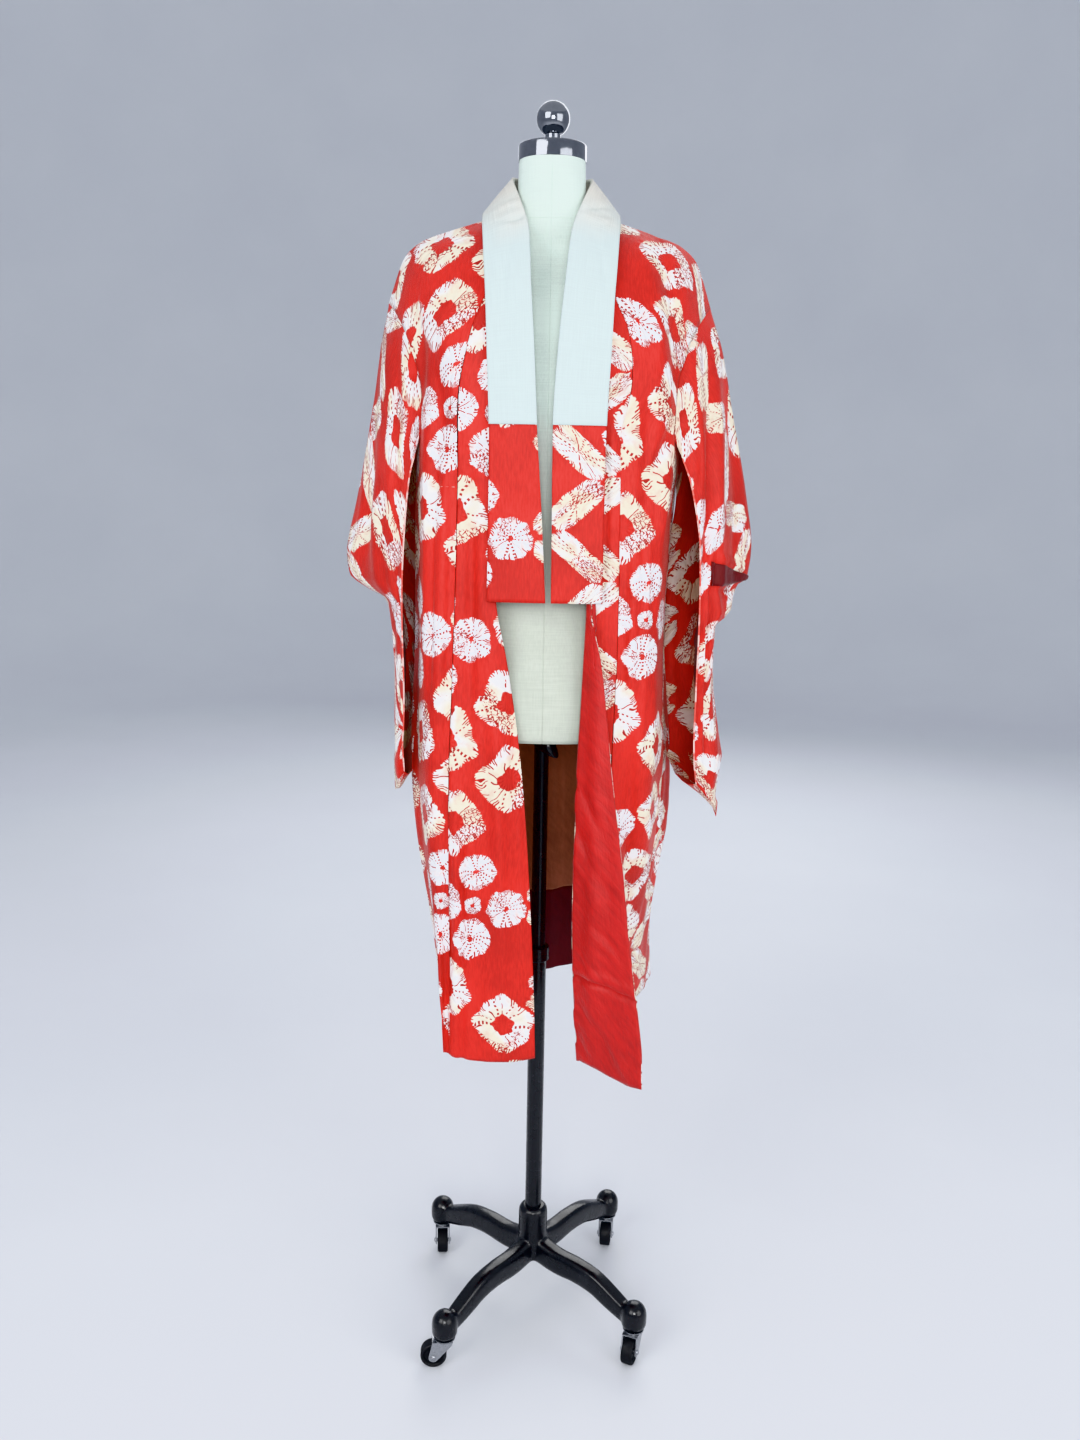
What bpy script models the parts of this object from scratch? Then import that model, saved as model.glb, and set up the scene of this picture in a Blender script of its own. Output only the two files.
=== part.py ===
"""Silk under-kimono worn open on a limbless dress form with a castor stand.

Frame: metres, +Z up, the floor at z = 0, the pole's axis on the Z axis, and the garment's front towards -Y.
The wearer's right is at -X. A side is -1 for the wearer's right and +1 for the left.
The cloth pieces are sheets lofted through sections, given a wall by Solidify. The form, pole and castors are
turned, and the base is a union of a turned hub, four swept legs and four domes.
"""
import bpy
import bmesh
import numpy as np
from math import cos, pi, radians, sin
from mathutils import Matrix, Vector

# ---- driving dimensions, in metres ----
SIDES = {"right": -1, "left": 1}

CLOTH = 0.0015            # wall of the silk pieces
COLLAR_WALL = 0.0020      # the collar is a folded strip
THIN_CLOTH = 0.0010       # linings and facings
SEAM_GAP = 0.0003         # between neighbouring pieces
LAP = CLOTH + SEAM_GAP    # how far out a piece lies that covers another's edge

POLE_SETTING = -0.008     # the pole's height above its mark; what it carries is drawn with it at the mark
CARRIED_BY_BASE = ("base_casting", "lower_tube", "height_collar", "fork", "wheel")
FORM_BOTTOM = 0.930
NECK_TOP = 1.676
CAP_RADIUS, CAP_HEIGHT = 0.0440, 0.0205
KNOB_STEM_RADIUS, KNOB_RADIUS, KNOB_CENTRE = 0.0100, 0.0215, 1.7285
KNOB_FOOT_RADIUS, KNOB_FOOT_HEIGHT = 0.0135, 0.003

UPPER_TUBE_RADIUS, UPPER_TUBE_BOTTOM = 0.0106, 0.340
LOWER_TUBE_RADIUS, LOWER_TUBE_BORE, LOWER_TUBE_TOP = 0.0125, 0.0111, 0.592
HUB_RADIUS, HUB_TOP, HUB_BOTTOM = 0.0212, 0.163, 0.073

CASTOR_RADIUS = 0.196     # swivel axes from the pole
CASTOR_ANGLES = {"front_right": 230.3, "front_left": 320.3, "back_left": 50.3, "back_right": 140.3}
TRAIL_ANGLES = {"front_right": 183.0, "front_left": 248.0, "back_left": 262.0, "back_right": 275.0}
WHEEL_RADIUS, WHEEL_WIDTH, TRAIL = 0.0190, 0.0170, 0.0160
DOME_RADIUS, DOME_BOTTOM, DOME_TOP = 0.0188, 0.0470, 0.0875

# ---- the cloth's sections ----
# One row for each level of a body panel, |x| growing away from the middle, y towards the back.
LEVEL_COLUMNS = ("z", "seam_x", "seam_y", "corner_x", "corner_y", "side_x", "side_y", "rear_x", "rear_y",
                 "back_y")
LEVELS = {
    "right": (
        (0.480, 0.122, -0.122, 0.1315, -0.100, 0.136, -0.020, 0.125, 0.135, 0.180),
        (0.560, 0.126, -0.125, 0.1360, -0.098, 0.142, -0.020, 0.128, 0.132, 0.175),
        (0.660, 0.126, -0.126, 0.1440, -0.095, 0.153, -0.015, 0.136, 0.130, 0.168),
        (0.780, 0.125, -0.128, 0.1560, -0.095, 0.170, -0.010, 0.145, 0.127, 0.159),
        (0.900, 0.123, -0.130, 0.1610, -0.100, 0.178, -0.005, 0.150, 0.122, 0.150),
        (1.050, 0.118, -0.130, 0.1600, -0.104, 0.175, 0.000, 0.147, 0.114, 0.140),
        (1.200, 0.114, -0.129, 0.1600, -0.100, 0.176, -0.005, 0.146, 0.106, 0.132),
        (1.330, 0.113, -0.128, 0.1640, -0.083, 0.176, -0.005, 0.158, 0.092, 0.128),
    ),
    "left": (
        (0.480, 0.076, -0.122, 0.1260, -0.020, 0.176, 0.080, 0.155, 0.165, 0.180),
        (0.560, 0.079, -0.124, 0.1300, -0.030, 0.171, 0.070, 0.153, 0.158, 0.175),
        (0.660, 0.083, -0.126, 0.1370, -0.048, 0.172, 0.055, 0.153, 0.148, 0.168),
        (0.780, 0.088, -0.128, 0.1480, -0.072, 0.180, 0.030, 0.156, 0.137, 0.159),
        (0.900, 0.092, -0.130, 0.1520, -0.092, 0.178, 0.010, 0.154, 0.125, 0.150),
        (1.050, 0.096, -0.130, 0.1500, -0.104, 0.167, 0.000, 0.146, 0.114, 0.140),
        (1.200, 0.095, -0.130, 0.1520, -0.100, 0.171, -0.005, 0.146, 0.106, 0.132),
        (1.330, 0.094, -0.129, 0.1640, -0.083, 0.180, -0.005, 0.158, 0.092, 0.128),
    ),
}
LEVEL_KNOTS = (0.00, 0.30, 0.46, 0.64, 0.84, 1.00)      # seam, corner, side, rear, nape, centre back
NAPE_X = 0.080
NAPE_RISE = 0.006         # the nape column is this much nearer than the centre
# The left half hangs shorter: its hem's rise at each knot, which dies out over HEM_EASE.
HEM_RISE = {"right": (0, 0, 0, 0, 0, 0), "left": (0, 0.034, 0.038, 0.034, 0.024, 0)}
HEM_EASE = 0.45
# Above the armpit the front and the back are two sheets that meet in the shoulder's ridge.
YOKE_COLUMNS = ("front_x", "front_y", "front_z", "arm_x", "arm_z", "arm_front_y", "arm_back_y",
                "nape_y", "nape_z", "centre_y", "centre_z")
YOKE = (
    (0.105, -0.121, 1.430, 0.1680, 1.392, -0.078, 0.086, 0.118, 1.430, 0.123, 1.430),
    (0.080, -0.098, 1.505, 0.1810, 1.447, -0.058, 0.066, 0.100, 1.515, 0.107, 1.515),
    (0.080, -0.052, 1.570, 0.1985, 1.480, -0.030, 0.036, 0.060, 1.574, 0.086, 1.566),
    (0.081, 0.002, 1.607, 0.2135, 1.500, 0.003, 0.003, 0.002, 1.607, 0.066, 1.600),
)
SHOULDER_SLOPE, SHOULDER_DROP_POWER = 0.38, 8    # a straight slope, then a drop at the shoulder's end

# Soft vertical folds in the lower body: place round the panel, depth, width and where each dies out.
FOLD_COLUMNS = ("side", "place", "depth", "width", "top")
FOLDS = (
    ("right", 0.12, 0.004, 0.045, 1.10),
    ("right", 0.50, -0.007, 0.060, 1.12),
    ("right", 0.70, 0.010, 0.070, 1.22),
    ("right", 0.86, -0.008, 0.050, 1.16),
    ("left", 0.14, -0.005, 0.050, 1.12),
    ("left", 0.34, 0.006, 0.050, 0.98),
    ("left", 0.58, -0.008, 0.060, 1.08),
    ("left", 0.74, 0.010, 0.065, 1.20),
    ("left", 0.87, -0.007, 0.042, 1.10),
)

# The right overlap's free edge; it lies under the collar above the collar's end.
RIGHT_EDGE_COLUMNS = ("z", "x", "y")
RIGHT_EDGE = (
    (0.480, -0.0015, -0.122), (0.560, -0.0040, -0.125), (0.660, -0.0090, -0.127), (0.780, -0.0165, -0.129),
    (0.900, -0.0270, -0.131), (1.050, -0.0485, -0.132), (1.110, -0.0610, -0.132), (1.200, -0.0620, -0.133),
    (1.330, -0.0640, -0.132), (1.430, -0.0670, -0.122), (1.505, -0.0710, -0.101),
)
# The left overlap is folded outwards below the collar: its fold and its free edge.
LEFT_EDGE_COLUMNS = ("z", "fold_x", "fold_y", "edge_x", "edge_y", "edge_z", "turned")
LEFT_EDGE = (
    (0.480, 0.0590, -0.126, 0.1480, -0.190, 0.450, 1.0),
    (0.560, 0.0520, -0.127, 0.1380, -0.180, 0.537, 1.0),
    (0.660, 0.0465, -0.128, 0.1240, -0.170, 0.645, 1.0),
    (0.780, 0.0460, -0.129, 0.1090, -0.160, 0.773, 1.0),
    (0.900, 0.0490, -0.130, 0.0930, -0.151, 0.896, 1.0),
    (1.000, 0.0530, -0.130, 0.0815, -0.143, 0.998, 1.0),
    (1.090, 0.0560, -0.130, 0.0690, -0.137, 1.090, 1.0),
    (1.160, 0.0580, -0.131, 0.0520, -0.132, 1.160, 0.0),
    (1.250, 0.0620, -0.132, 0.0560, -0.132, 1.250, 0.0),
    (1.330, 0.0640, -0.131, 0.0600, -0.131, 1.330, 0.0),
    (1.430, 0.0680, -0.121, 0.0660, -0.121, 1.430, 0.0),
    (1.505, 0.0735, -0.1005, 0.0715, -0.1010, 1.505, 0.0),
)
FOLD_HALF_GAP, FOLD_REACH, FOLD_EASE = 0.0045, 0.007, 0.001

# The collar: a row for each station from the front end to the centre back, with its outer and inner edges.
COLLAR_COLUMNS = ("outer_x", "outer_y", "outer_z", "right_in", "left_in", "inner_y", "inner_z")
COLLAR = (
    (0.0740, -0.1395, 1.121, 0.0010, 0.0080, -0.1440, 1.121),
    (0.0730, -0.1400, 1.230, -0.0055, 0.0072, -0.1450, 1.230),
    (0.0730, -0.1385, 1.342, 0.0135, 0.0065, -0.1460, 1.342),
    (0.0765, -0.1290, 1.425, 0.0185, 0.0110, -0.1330, 1.430),
    (0.0805, -0.1060, 1.505, 0.0245, 0.0190, -0.1060, 1.518),
    (0.0860, -0.0600, 1.574, 0.0300, 0.0285, -0.0620, 1.592),
    (0.0870, 0.0000, 1.6125, 0.0500, 0.0510, -0.0020, 1.6520),
    (0.0690, 0.0533, 1.5985, 0.0400, 0.0410, 0.0440, 1.6640),
    (0.0000, 0.0777, 1.5945, 0.0000, 0.0000, 0.0570, 1.6670),
)
COVER_END = 2              # the cover starts at this station

# Each sleeve's lines run from the armhole down: furi (open edge by the body), mid and outer, front and back.
SLEEVE_COLUMNS = ("furi_x", "furi_y", "furi_z", "mid_x", "mid_y", "mid_z", "outer_x", "outer_y", "outer_z",
                  "back_x", "back_y", "back_z", "rear_x", "rear_y", "rear_z", "mouth")
SLEEVES = {
    "right": (
        (0.1790, -0.090, 1.262, 0.2020, -0.078, 1.320, 0.2290, 0.000, 1.412,
         0.2080, 0.082, 1.325, 0.1830, 0.085, 1.262, 0),
        (0.1850, -0.094, 1.180, 0.2140, -0.078, 1.225, 0.2500, 0.000, 1.285,
         0.2270, 0.074, 1.225, 0.1880, 0.074, 1.180, 0),
        (0.1860, -0.096, 1.090, 0.2160, -0.074, 1.110, 0.2740, 0.000, 1.153,
         0.2320, 0.060, 1.118, 0.1880, 0.050, 1.090, 0),
        (0.1850, -0.096, 1.005, 0.2060, -0.076, 1.030, 0.2230, -0.030, 1.090,
         0.2150, 0.040, 1.040, 0.1850, 0.020, 1.005, 1),
        (0.1860, -0.094, 0.950, 0.2030, -0.076, 0.965, 0.2120, -0.030, 1.000,
         0.2060, 0.025, 0.965, 0.1840, -0.020, 0.950, 1),
        (0.1880, -0.090, 0.918, 0.2000, -0.074, 0.890, 0.2080, -0.034, 0.920,
         0.2020, 0.010, 0.900, 0.1860, -0.055, 0.918, 0),
        (0.1870, -0.080, 0.880, 0.1960, -0.068, 0.855, 0.2050, -0.040, 0.850,
         0.1980, -0.015, 0.855, 0.1860, -0.060, 0.880, 0),
    ),
    "left": (
        (0.1900, -0.084, 1.262, 0.2120, -0.074, 1.320, 0.2380, 0.000, 1.420,
         0.2180, 0.082, 1.325, 0.1880, 0.085, 1.262, 0),
        (0.2030, -0.084, 1.180, 0.2300, -0.066, 1.225, 0.2640, 0.000, 1.300,
         0.2380, 0.076, 1.225, 0.1930, 0.078, 1.180, 0),
        (0.2070, -0.084, 1.090, 0.2360, -0.062, 1.110, 0.2840, 0.000, 1.168,
         0.2460, 0.064, 1.118, 0.1920, 0.062, 1.090, 0),
        (0.2060, -0.084, 1.000, 0.2330, -0.066, 1.020, 0.2460, -0.020, 1.080,
         0.2360, 0.046, 1.030, 0.1900, 0.048, 1.000, 1),
        (0.2060, -0.082, 0.940, 0.2330, -0.066, 0.945, 0.2450, -0.020, 0.990,
         0.2360, 0.038, 0.950, 0.1910, 0.036, 0.940, 1),
        (0.2090, -0.076, 0.885, 0.2400, -0.062, 0.880, 0.2540, -0.024, 0.900,
         0.2420, 0.020, 0.885, 0.1950, 0.018, 0.885, 0),
        (0.2150, -0.060, 0.850, 0.2420, -0.050, 0.826, 0.2500, -0.028, 0.806,
         0.2360, 0.000, 0.835, 0.2080, -0.010, 0.852, 0),
    ),
}
MOUTH_HALF = 0.016         # the cuff's edges stand this far either side of the sleeve's outer line
SLEEVE_BOTTOM_SAG = 0.006

# The torso: a ring for each row.
TORSO_COLUMNS = ("z", "half_width", "front", "back")
TORSO = (
    (FORM_BOTTOM, 0.152, 0.114, 0.110), (0.942, 0.158, 0.119, 0.116), (1.000, 0.162, 0.121, 0.122),
    (1.080, 0.146, 0.111, 0.110), (1.170, 0.119, 0.098, 0.088), (1.250, 0.130, 0.107, 0.095),
    (1.360, 0.156, 0.121, 0.107), (1.440, 0.168, 0.102, 0.104), (1.500, 0.176, 0.074, 0.090),
    (1.535, 0.176, 0.050, 0.070), (1.560, 0.158, 0.038, 0.054), (1.574, 0.118, 0.036, 0.048),
    (1.590, 0.074, 0.0400, 0.0470), (1.607, 0.055, 0.0420, 0.0480), (1.630, 0.0455, 0.0425, 0.0460),
    (NECK_TOP, 0.0430, 0.0430, 0.0450),
)
TORSO_POWER = 2.25

# Colours, linear: base colour, roughness, metallic.
FINISHES = {
    "red_silk": ((0.72, 0.045, 0.030), 0.45, 0.0),
    "plain_red_silk": ((0.55, 0.030, 0.022), 0.40, 0.0),
    "linen": ((0.66, 0.70, 0.64), 0.85, 0.0),
    "beige_lining": ((0.42, 0.27, 0.16), 0.70, 0.0),
    "form_cover": ((0.66, 0.69, 0.60), 0.90, 0.0),
    "chrome": ((0.75, 0.76, 0.78), 0.12, 1.0),
    "black_enamel": ((0.012, 0.012, 0.014), 0.25, 0.0),
    "zinc": ((0.62, 0.62, 0.64), 0.30, 1.0),
    "black_tyre": ((0.015, 0.015, 0.017), 0.55, 0.0),
}


# ---- curves and grids ----
def spline(knots, values, at):
    """Smooth curve through values at the knots, read at other places: cubic pieces with mean slopes."""
    knots, values, at = np.asarray(knots, float), np.asarray(values, float), np.asarray(at, float)
    steps = np.diff(knots)
    wide = (-1,) + (1,) * (values.ndim - 1)
    slopes = np.diff(values, axis=0) / steps.reshape(wide)
    before, after = steps[:-1].reshape(wide), steps[1:].reshape(wide)
    inner = (slopes[:-1] * after + slopes[1:] * before) / (before + after)
    tangents = np.concatenate([slopes[:1], inner, slopes[-1:]])
    piece = np.clip(np.searchsorted(knots, at, side="right") - 1, 0, len(steps) - 1)
    span = steps[piece]
    t = ((at - knots[piece]) / span).reshape(wide)
    span = span.reshape(wide)
    return ((2 * t**3 - 3 * t**2 + 1) * values[piece] + (t**3 - 2 * t**2 + t) * span * tangents[piece]
            + (3 * t**2 - 2 * t**3) * values[piece + 1] + (t**3 - t**2) * span * tangents[piece + 1])


def table(columns, rows):
    """A short table as arrays by column name."""
    return {name: np.array(column) for name, column in zip(columns, zip(*rows))}


def xyz(x, y, z):
    """Points from coordinates that broadcast together."""
    return np.stack(np.broadcast_arrays(x, y, z), axis=-1).astype(float)


def grid_normals(grid):
    """Unit normals of a grid of points, on the outer side of its faces."""
    along = np.gradient(grid, axis=1)
    up = np.gradient(grid, axis=0)
    normals = np.cross(along, up)
    return normals / np.maximum(np.linalg.norm(normals, axis=-1, keepdims=True), 1e-9)


def grid_faces(rows, columns, first=0):
    """Quads of a grid of rows x columns points, numbered from first."""
    index = first + np.arange(rows * columns).reshape(rows, columns)
    quads = np.stack([index[:-1, :-1], index[:-1, 1:], index[1:, 1:], index[1:, :-1]], axis=-1)
    return quads.reshape(-1, 4).tolist()


def smooth_step(t):
    """0 before 0, 1 after 1 and level at both ends."""
    t = np.clip(t, 0, 1)
    return t * t * (3 - 2 * t)


# ---- objects ----
def clear_scene():
    for obj in list(bpy.data.objects):
        bpy.data.objects.remove(obj, do_unlink=True)


def finish_material(name):
    if name in bpy.data.materials:
        return bpy.data.materials[name]
    colour, roughness, metallic = FINISHES[name]
    material = bpy.data.materials.new(name)
    material.use_nodes = True
    shader = material.node_tree.nodes["Principled BSDF"]
    shader.inputs["Base Color"].default_value = (*colour, 1)
    shader.inputs["Roughness"].default_value = roughness
    shader.inputs["Metallic"].default_value = metallic
    return material


def new_object(name, mesh, finish, smooth_angle=40):
    obj = bpy.data.objects.new(name, mesh)
    bpy.context.scene.collection.objects.link(obj)
    mesh.materials.append(finish_material(finish))
    mesh.shade_smooth()
    mesh.set_sharp_from_angle(angle=radians(smooth_angle))
    return obj


def cloth(name, patches, wall, finish):
    """A cloth piece: patches of points sewn together where they meet, with a wall behind their outer side."""
    points, faces = [], []
    for patch in patches:
        faces += grid_faces(*patch.shape[:2], first=sum(len(p) for p in points))
        points.append(patch.reshape(-1, 3))
    mesh = bpy.data.meshes.new(name)
    mesh.from_pydata(np.concatenate(points).tolist(), [], faces)
    shape = bmesh.new()
    shape.from_mesh(mesh)
    bmesh.ops.remove_doubles(shape, verts=shape.verts, dist=1e-6)
    shape.to_mesh(mesh)
    shape.free()
    obj = new_object(name, mesh, finish, smooth_angle=60)
    solidify = obj.modifiers.new("Wall", "SOLIDIFY")
    solidify.thickness = wall
    solidify.offset = -1
    return obj


def turned(name, profile, finish, segments=32):
    """A turned solid: its profile of (radius, z) runs from axis to axis, or is a loop that keeps off it."""
    shape = bmesh.new()
    points = [shape.verts.new((r, 0, z)) for r, z in profile]
    pairs = list(zip(points, points[1:]))
    if profile[0][0] > 0:
        pairs.append((points[-1], points[0]))
    edges = [shape.edges.new(pair) for pair in pairs]
    bmesh.ops.spin(shape, geom=points + edges, cent=(0, 0, 0), axis=(0, 0, 1), angle=2 * pi, steps=segments,
                   use_merge=True)
    bmesh.ops.remove_doubles(shape, verts=shape.verts, dist=1e-6)
    bmesh.ops.recalc_face_normals(shape, faces=shape.faces)
    return new_object(name, mesh_of(shape, name), finish)


def mesh_of(shape, name):
    mesh = bpy.data.meshes.new(name)
    shape.to_mesh(mesh)
    shape.free()
    return mesh


# ---- the body panels ----
LEVEL_ROWS, YOKE_ROWS = 12, 6
FRONT_COLUMNS, SIDE_COLUMNS, NAPE_COLUMNS, CENTRE_COLUMNS = 7, 6, 7, 3


def body_places():
    """Places round a panel: front, side, back to the nape's column, and on to the centre back."""
    knots = LEVEL_KNOTS
    blocks = ((knots[0], knots[1], FRONT_COLUMNS), (knots[1], knots[3], SIDE_COLUMNS),
              (knots[3], knots[4], NAPE_COLUMNS), (knots[4], knots[5], CENTRE_COLUMNS))
    places = [np.linspace(start, end, count + 1)[:-1] for start, end, count in blocks]
    return np.concatenate(places + [[1.0]])


def level_points(side, places, heights):
    """Grid of points from the hem to the armpit: heights x places, with the folds pressed in."""
    rows = table(LEVEL_COLUMNS, LEVELS[side])
    zero = np.zeros_like(rows["z"])
    x = np.stack([rows["seam_x"], rows["corner_x"], rows["side_x"], rows["rear_x"], zero + NAPE_X, zero])
    y = np.stack([rows["seam_y"], rows["corner_y"], rows["side_y"], rows["rear_y"],
                  rows["back_y"] - NAPE_RISE, rows["back_y"]])
    section = spline(LEVEL_KNOTS, np.stack([x, y], axis=-1), places)
    grid = spline(rows["z"], np.swapaxes(section, 0, 1), heights)
    points = xyz(SIDES[side] * grid[..., 0], grid[..., 1], np.asarray(heights)[:, None])
    points += fold_offsets(side, points, places, heights)
    rise = np.interp(places, LEVEL_KNOTS, HEM_RISE[side])
    points[..., 2] += rise * (1 - smooth_step((np.asarray(heights) - heights[0]) / HEM_EASE))[:, None]
    return points


def fold_offsets(side, points, places, heights):
    """Soft vertical folds: each a bell across the panel that grows from its top to the hem."""
    outward = points.copy()
    outward[..., 2] = 0
    outward /= np.linalg.norm(outward, axis=-1, keepdims=True)
    hem = heights[0]
    total = np.zeros(points.shape[:2])
    for fold_side, place, depth, width, top in FOLDS:
        if fold_side == side:
            across = np.exp(-(((places - place) / width) ** 2))
            down = smooth_step((top - np.asarray(heights)) / (top - hem))
            total += depth * down[:, None] * across
    return outward * total[..., None]


def shoulder_line(start, end, steps):
    """From the neck to the arm: x runs evenly, y bends late, and z slopes and then drops at the end."""
    f = np.asarray(steps)
    x0, y0, z0 = start
    x1, y1, z1 = end
    drop = SHOULDER_SLOPE * f + (1 - SHOULDER_SLOPE) * f**SHOULDER_DROP_POWER
    return xyz(x0 + (x1 - x0) * f, y0 + (y1 - y0) * f**2.2, z0 + (z1 - z0) * drop)


def yoke_rows(side, armpit_row):
    """Front and back sheets above the armpit, a row for each YOKE row, starting with the armpit's own row."""
    sign = SIDES[side]
    front_steps = np.linspace(0, 1, FRONT_COLUMNS + 1)
    back_steps = np.linspace(1, 0, NAPE_COLUMNS + 1)
    to_centre = np.linspace(0, 1, CENTRE_COLUMNS + 1)[1:]
    round_neck = np.sin(pi / 2 * np.minimum(1.5 * to_centre, 1))      # level at the centre seam
    first_back = FRONT_COLUMNS + SIDE_COLUMNS
    front, back = [armpit_row[:FRONT_COLUMNS + 1]], [armpit_row[first_back:]]
    for row in YOKE:
        r = dict(zip(YOKE_COLUMNS, row))
        arm = (r["arm_x"], r["arm_front_y"], r["arm_z"])
        sheet = shoulder_line((r["front_x"], r["front_y"], r["front_z"]), arm, front_steps)
        arm = (r["arm_x"], r["arm_back_y"], r["arm_z"])
        nape = (NAPE_X if row is not YOKE[-1] else r["front_x"], r["nape_y"], r["nape_z"])
        rear = shoulder_line(nape, arm, back_steps)
        rise_y, rise_z = r["centre_y"] - nape[1], r["centre_z"] - nape[2]
        neck = xyz(nape[0] * (1 - to_centre), nape[1] + rise_y * round_neck, nape[2] + rise_z * round_neck)
        front.append(sheet * (sign, 1, 1))
        back.append(np.concatenate([rear, neck]) * (sign, 1, 1))
    return np.array(front), np.array(back)


def loft(rows, count):
    """Rows of points made into count + 1 rows along a smooth curve through them."""
    knots = np.linspace(0, 1, len(rows))
    return spline(knots, rows, np.linspace(0, 1, count + 1))


def body_grids(side):
    """The panel's three grids: hem to armpit, front to shoulder, back to shoulder and neck."""
    rows = LEVELS[side]
    heights = np.linspace(rows[0][0], rows[-1][0], LEVEL_ROWS + 1)
    lower = level_points(side, body_places(), heights)
    lower[:, -1, 0] = SIDES[side] * SEAM_GAP / 2
    front, back = yoke_rows(side, lower[-1])
    front, back = loft(front, YOKE_ROWS), loft(back, YOKE_ROWS)
    back[-1, :NAPE_COLUMNS + 1] = front[-1, ::-1]
    back[:, -1, 0] = SIDES[side] * SEAM_GAP / 2
    return lower, front, back


def facing_out(side, grid):
    """The grid in the order that makes its outer side face out."""
    return grid if side == "left" else grid[:, ::-1]


def make_bodies():
    grids = {side: body_grids(side) for side in SIDES}
    for side, patches in grids.items():
        cloth(f"body_{side}", [facing_out(side, patch) for patch in patches], CLOTH, "red_silk")
    return grids


# ---- the overlaps and the facing ----
OVERLAP_COLUMNS, OVERLAP_CROWN = 4, 0.0025
OVERLAP_YOKE_ROWS = 3
FLAP_PLACES = (0, 0.11, 0.22, 0.32, 0.42, 0.46, 0.50, 0.54, 0.58, 0.68, 0.79, 0.90, 1)
FACING_TOP_ROW, FACING_COLUMNS = 8, 7
FACING_GAP = 0.0006


def seam_column(grids, side):
    """The body's front seam, hem to yoke, moved in to clear the body's wall, which is mitred."""
    sign = SIDES[side]
    lower, front, _ = grids[side]
    seam, lean = [], []
    for grid, rows in ((lower, slice(None)), (front, slice(1, OVERLAP_YOKE_ROWS + 1))):
        normals = grid_normals(facing_out(side, grid))
        edge = 0 if side == "left" else -1
        seam.append(grid[rows, 0])
        lean.append(normals[rows, edge, 0] * sign)
    shift = SEAM_GAP + CLOTH * np.maximum(np.concatenate(lean), 0)
    return np.concatenate(seam) - sign * shift[:, None] * np.array([1, 0, 0])


def right_overlap(grids):
    """From the free edge to the seam, a row for each of the body's rows."""
    seam = seam_column(grids, "right")
    edge = table(RIGHT_EDGE_COLUMNS, RIGHT_EDGE)
    heights = seam[:, 2]
    free = xyz(spline(edge["z"], edge["x"], heights), spline(edge["z"], edge["y"], heights), heights)
    across = np.linspace(0, 1, OVERLAP_COLUMNS + 1)[:, None]
    grid = free[:, None] + (seam - free)[:, None] * across
    grid[..., 1] -= OVERLAP_CROWN * np.sin(pi * across[:, 0])
    return grid


def left_overlap(grids):
    """From the seam to the fold and round it to the free edge, which stands out in front."""
    seam = seam_column(grids, "left")
    heights = seam[:, 2]
    rows = table(LEFT_EDGE_COLUMNS, LEFT_EDGE)
    edge = {name: spline(rows["z"], column, heights) for name, column in rows.items()}
    turned_out = np.clip(edge["turned"], 0, 1)
    fold = xyz(edge["fold_x"], edge["fold_y"], heights)
    free = xyz(edge["edge_x"], edge["edge_y"], edge["edge_z"])
    flat = (free - fold) / 3
    reach = np.minimum(FOLD_REACH, 0.6 * (seam[:, 0] - fold[:, 0]))     # short where the seam is near
    inside = fold + xyz(reach, FOLD_EASE, 0)
    bend = fold + flat * (1 - turned_out)[:, None]
    front = xyz(fold[:, 0] + reach, fold[:, 1] - FOLD_HALF_GAP * turned_out, fold[:, 2])
    front = front * turned_out[:, None] + (fold + 2 * flat) * (1 - turned_out)[:, None]
    stations = np.stack([seam, (seam + inside) / 2, inside, bend, front, (front + free) / 2, free])
    knots = (0, 0.22, 0.42, 0.50, 0.58, 0.79, 1)
    grid = spline(knots, stations, FLAP_PLACES)
    return np.swapaxes(grid, 0, 1)


def make_overlaps(grids):
    cloth("overlap_right", [right_overlap(grids)[:, ::-1]], CLOTH, "red_silk")
    flap = left_overlap(grids)[:, ::-1]
    cloth("overlap_left", [flap], CLOTH, "red_silk")
    inward = -(CLOTH + FACING_GAP) * grid_normals(flap)
    facing = (flap + inward)[:FACING_TOP_ROW + 1, :FACING_COLUMNS]
    cloth("front_facing", [facing], THIN_CLOTH, "plain_red_silk")


# ---- the linings of the back ----
LINING_TOP_ROW, BAND_TOP_ROW = 8, 2
LINING_FIRST_COLUMN = 10
LINING_GAP = 0.0012        # the lining hangs a little free of the silk


def make_linings(grids):
    """The back's inner side, side to side: a band above the hem and the plain lining above it."""
    halves = []
    for side in ("right", "left"):
        lower = grids[side][0][:, LINING_FIRST_COLUMN:]
        outward = grid_normals(facing_out(side, lower))
        outward = outward if side == "left" else outward[:, ::-1]
        halves.append(lower - (CLOTH + LINING_GAP) * outward)
    halves[1][:, -1, 0] = halves[0][:, -1, 0] = 0
    middle = (halves[0][:, -1:] + halves[1][:, -1:]) / 2
    back = np.concatenate([halves[1][:, :-1], middle, halves[0][:, -2::-1]], axis=1)
    lining = back[BAND_TOP_ROW:LINING_TOP_ROW + 1].copy()
    lining[0, :, 2] += SEAM_GAP
    cloth("back_hem_band", [back[:BAND_TOP_ROW + 1]], THIN_CLOTH, "plain_red_silk")
    cloth("back_lining", [lining], THIN_CLOTH, "beige_lining")


# ---- the collar ----
COLLAR_ROWS_PER_STATION = 2
COLLAR_CROWN = 0.0015
COLLAR_ACROSS = 3
COLLAR_OPENS = 1.30         # below this the inner edges are both on the left of the middle
COVER_GAP = 0.0006


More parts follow.
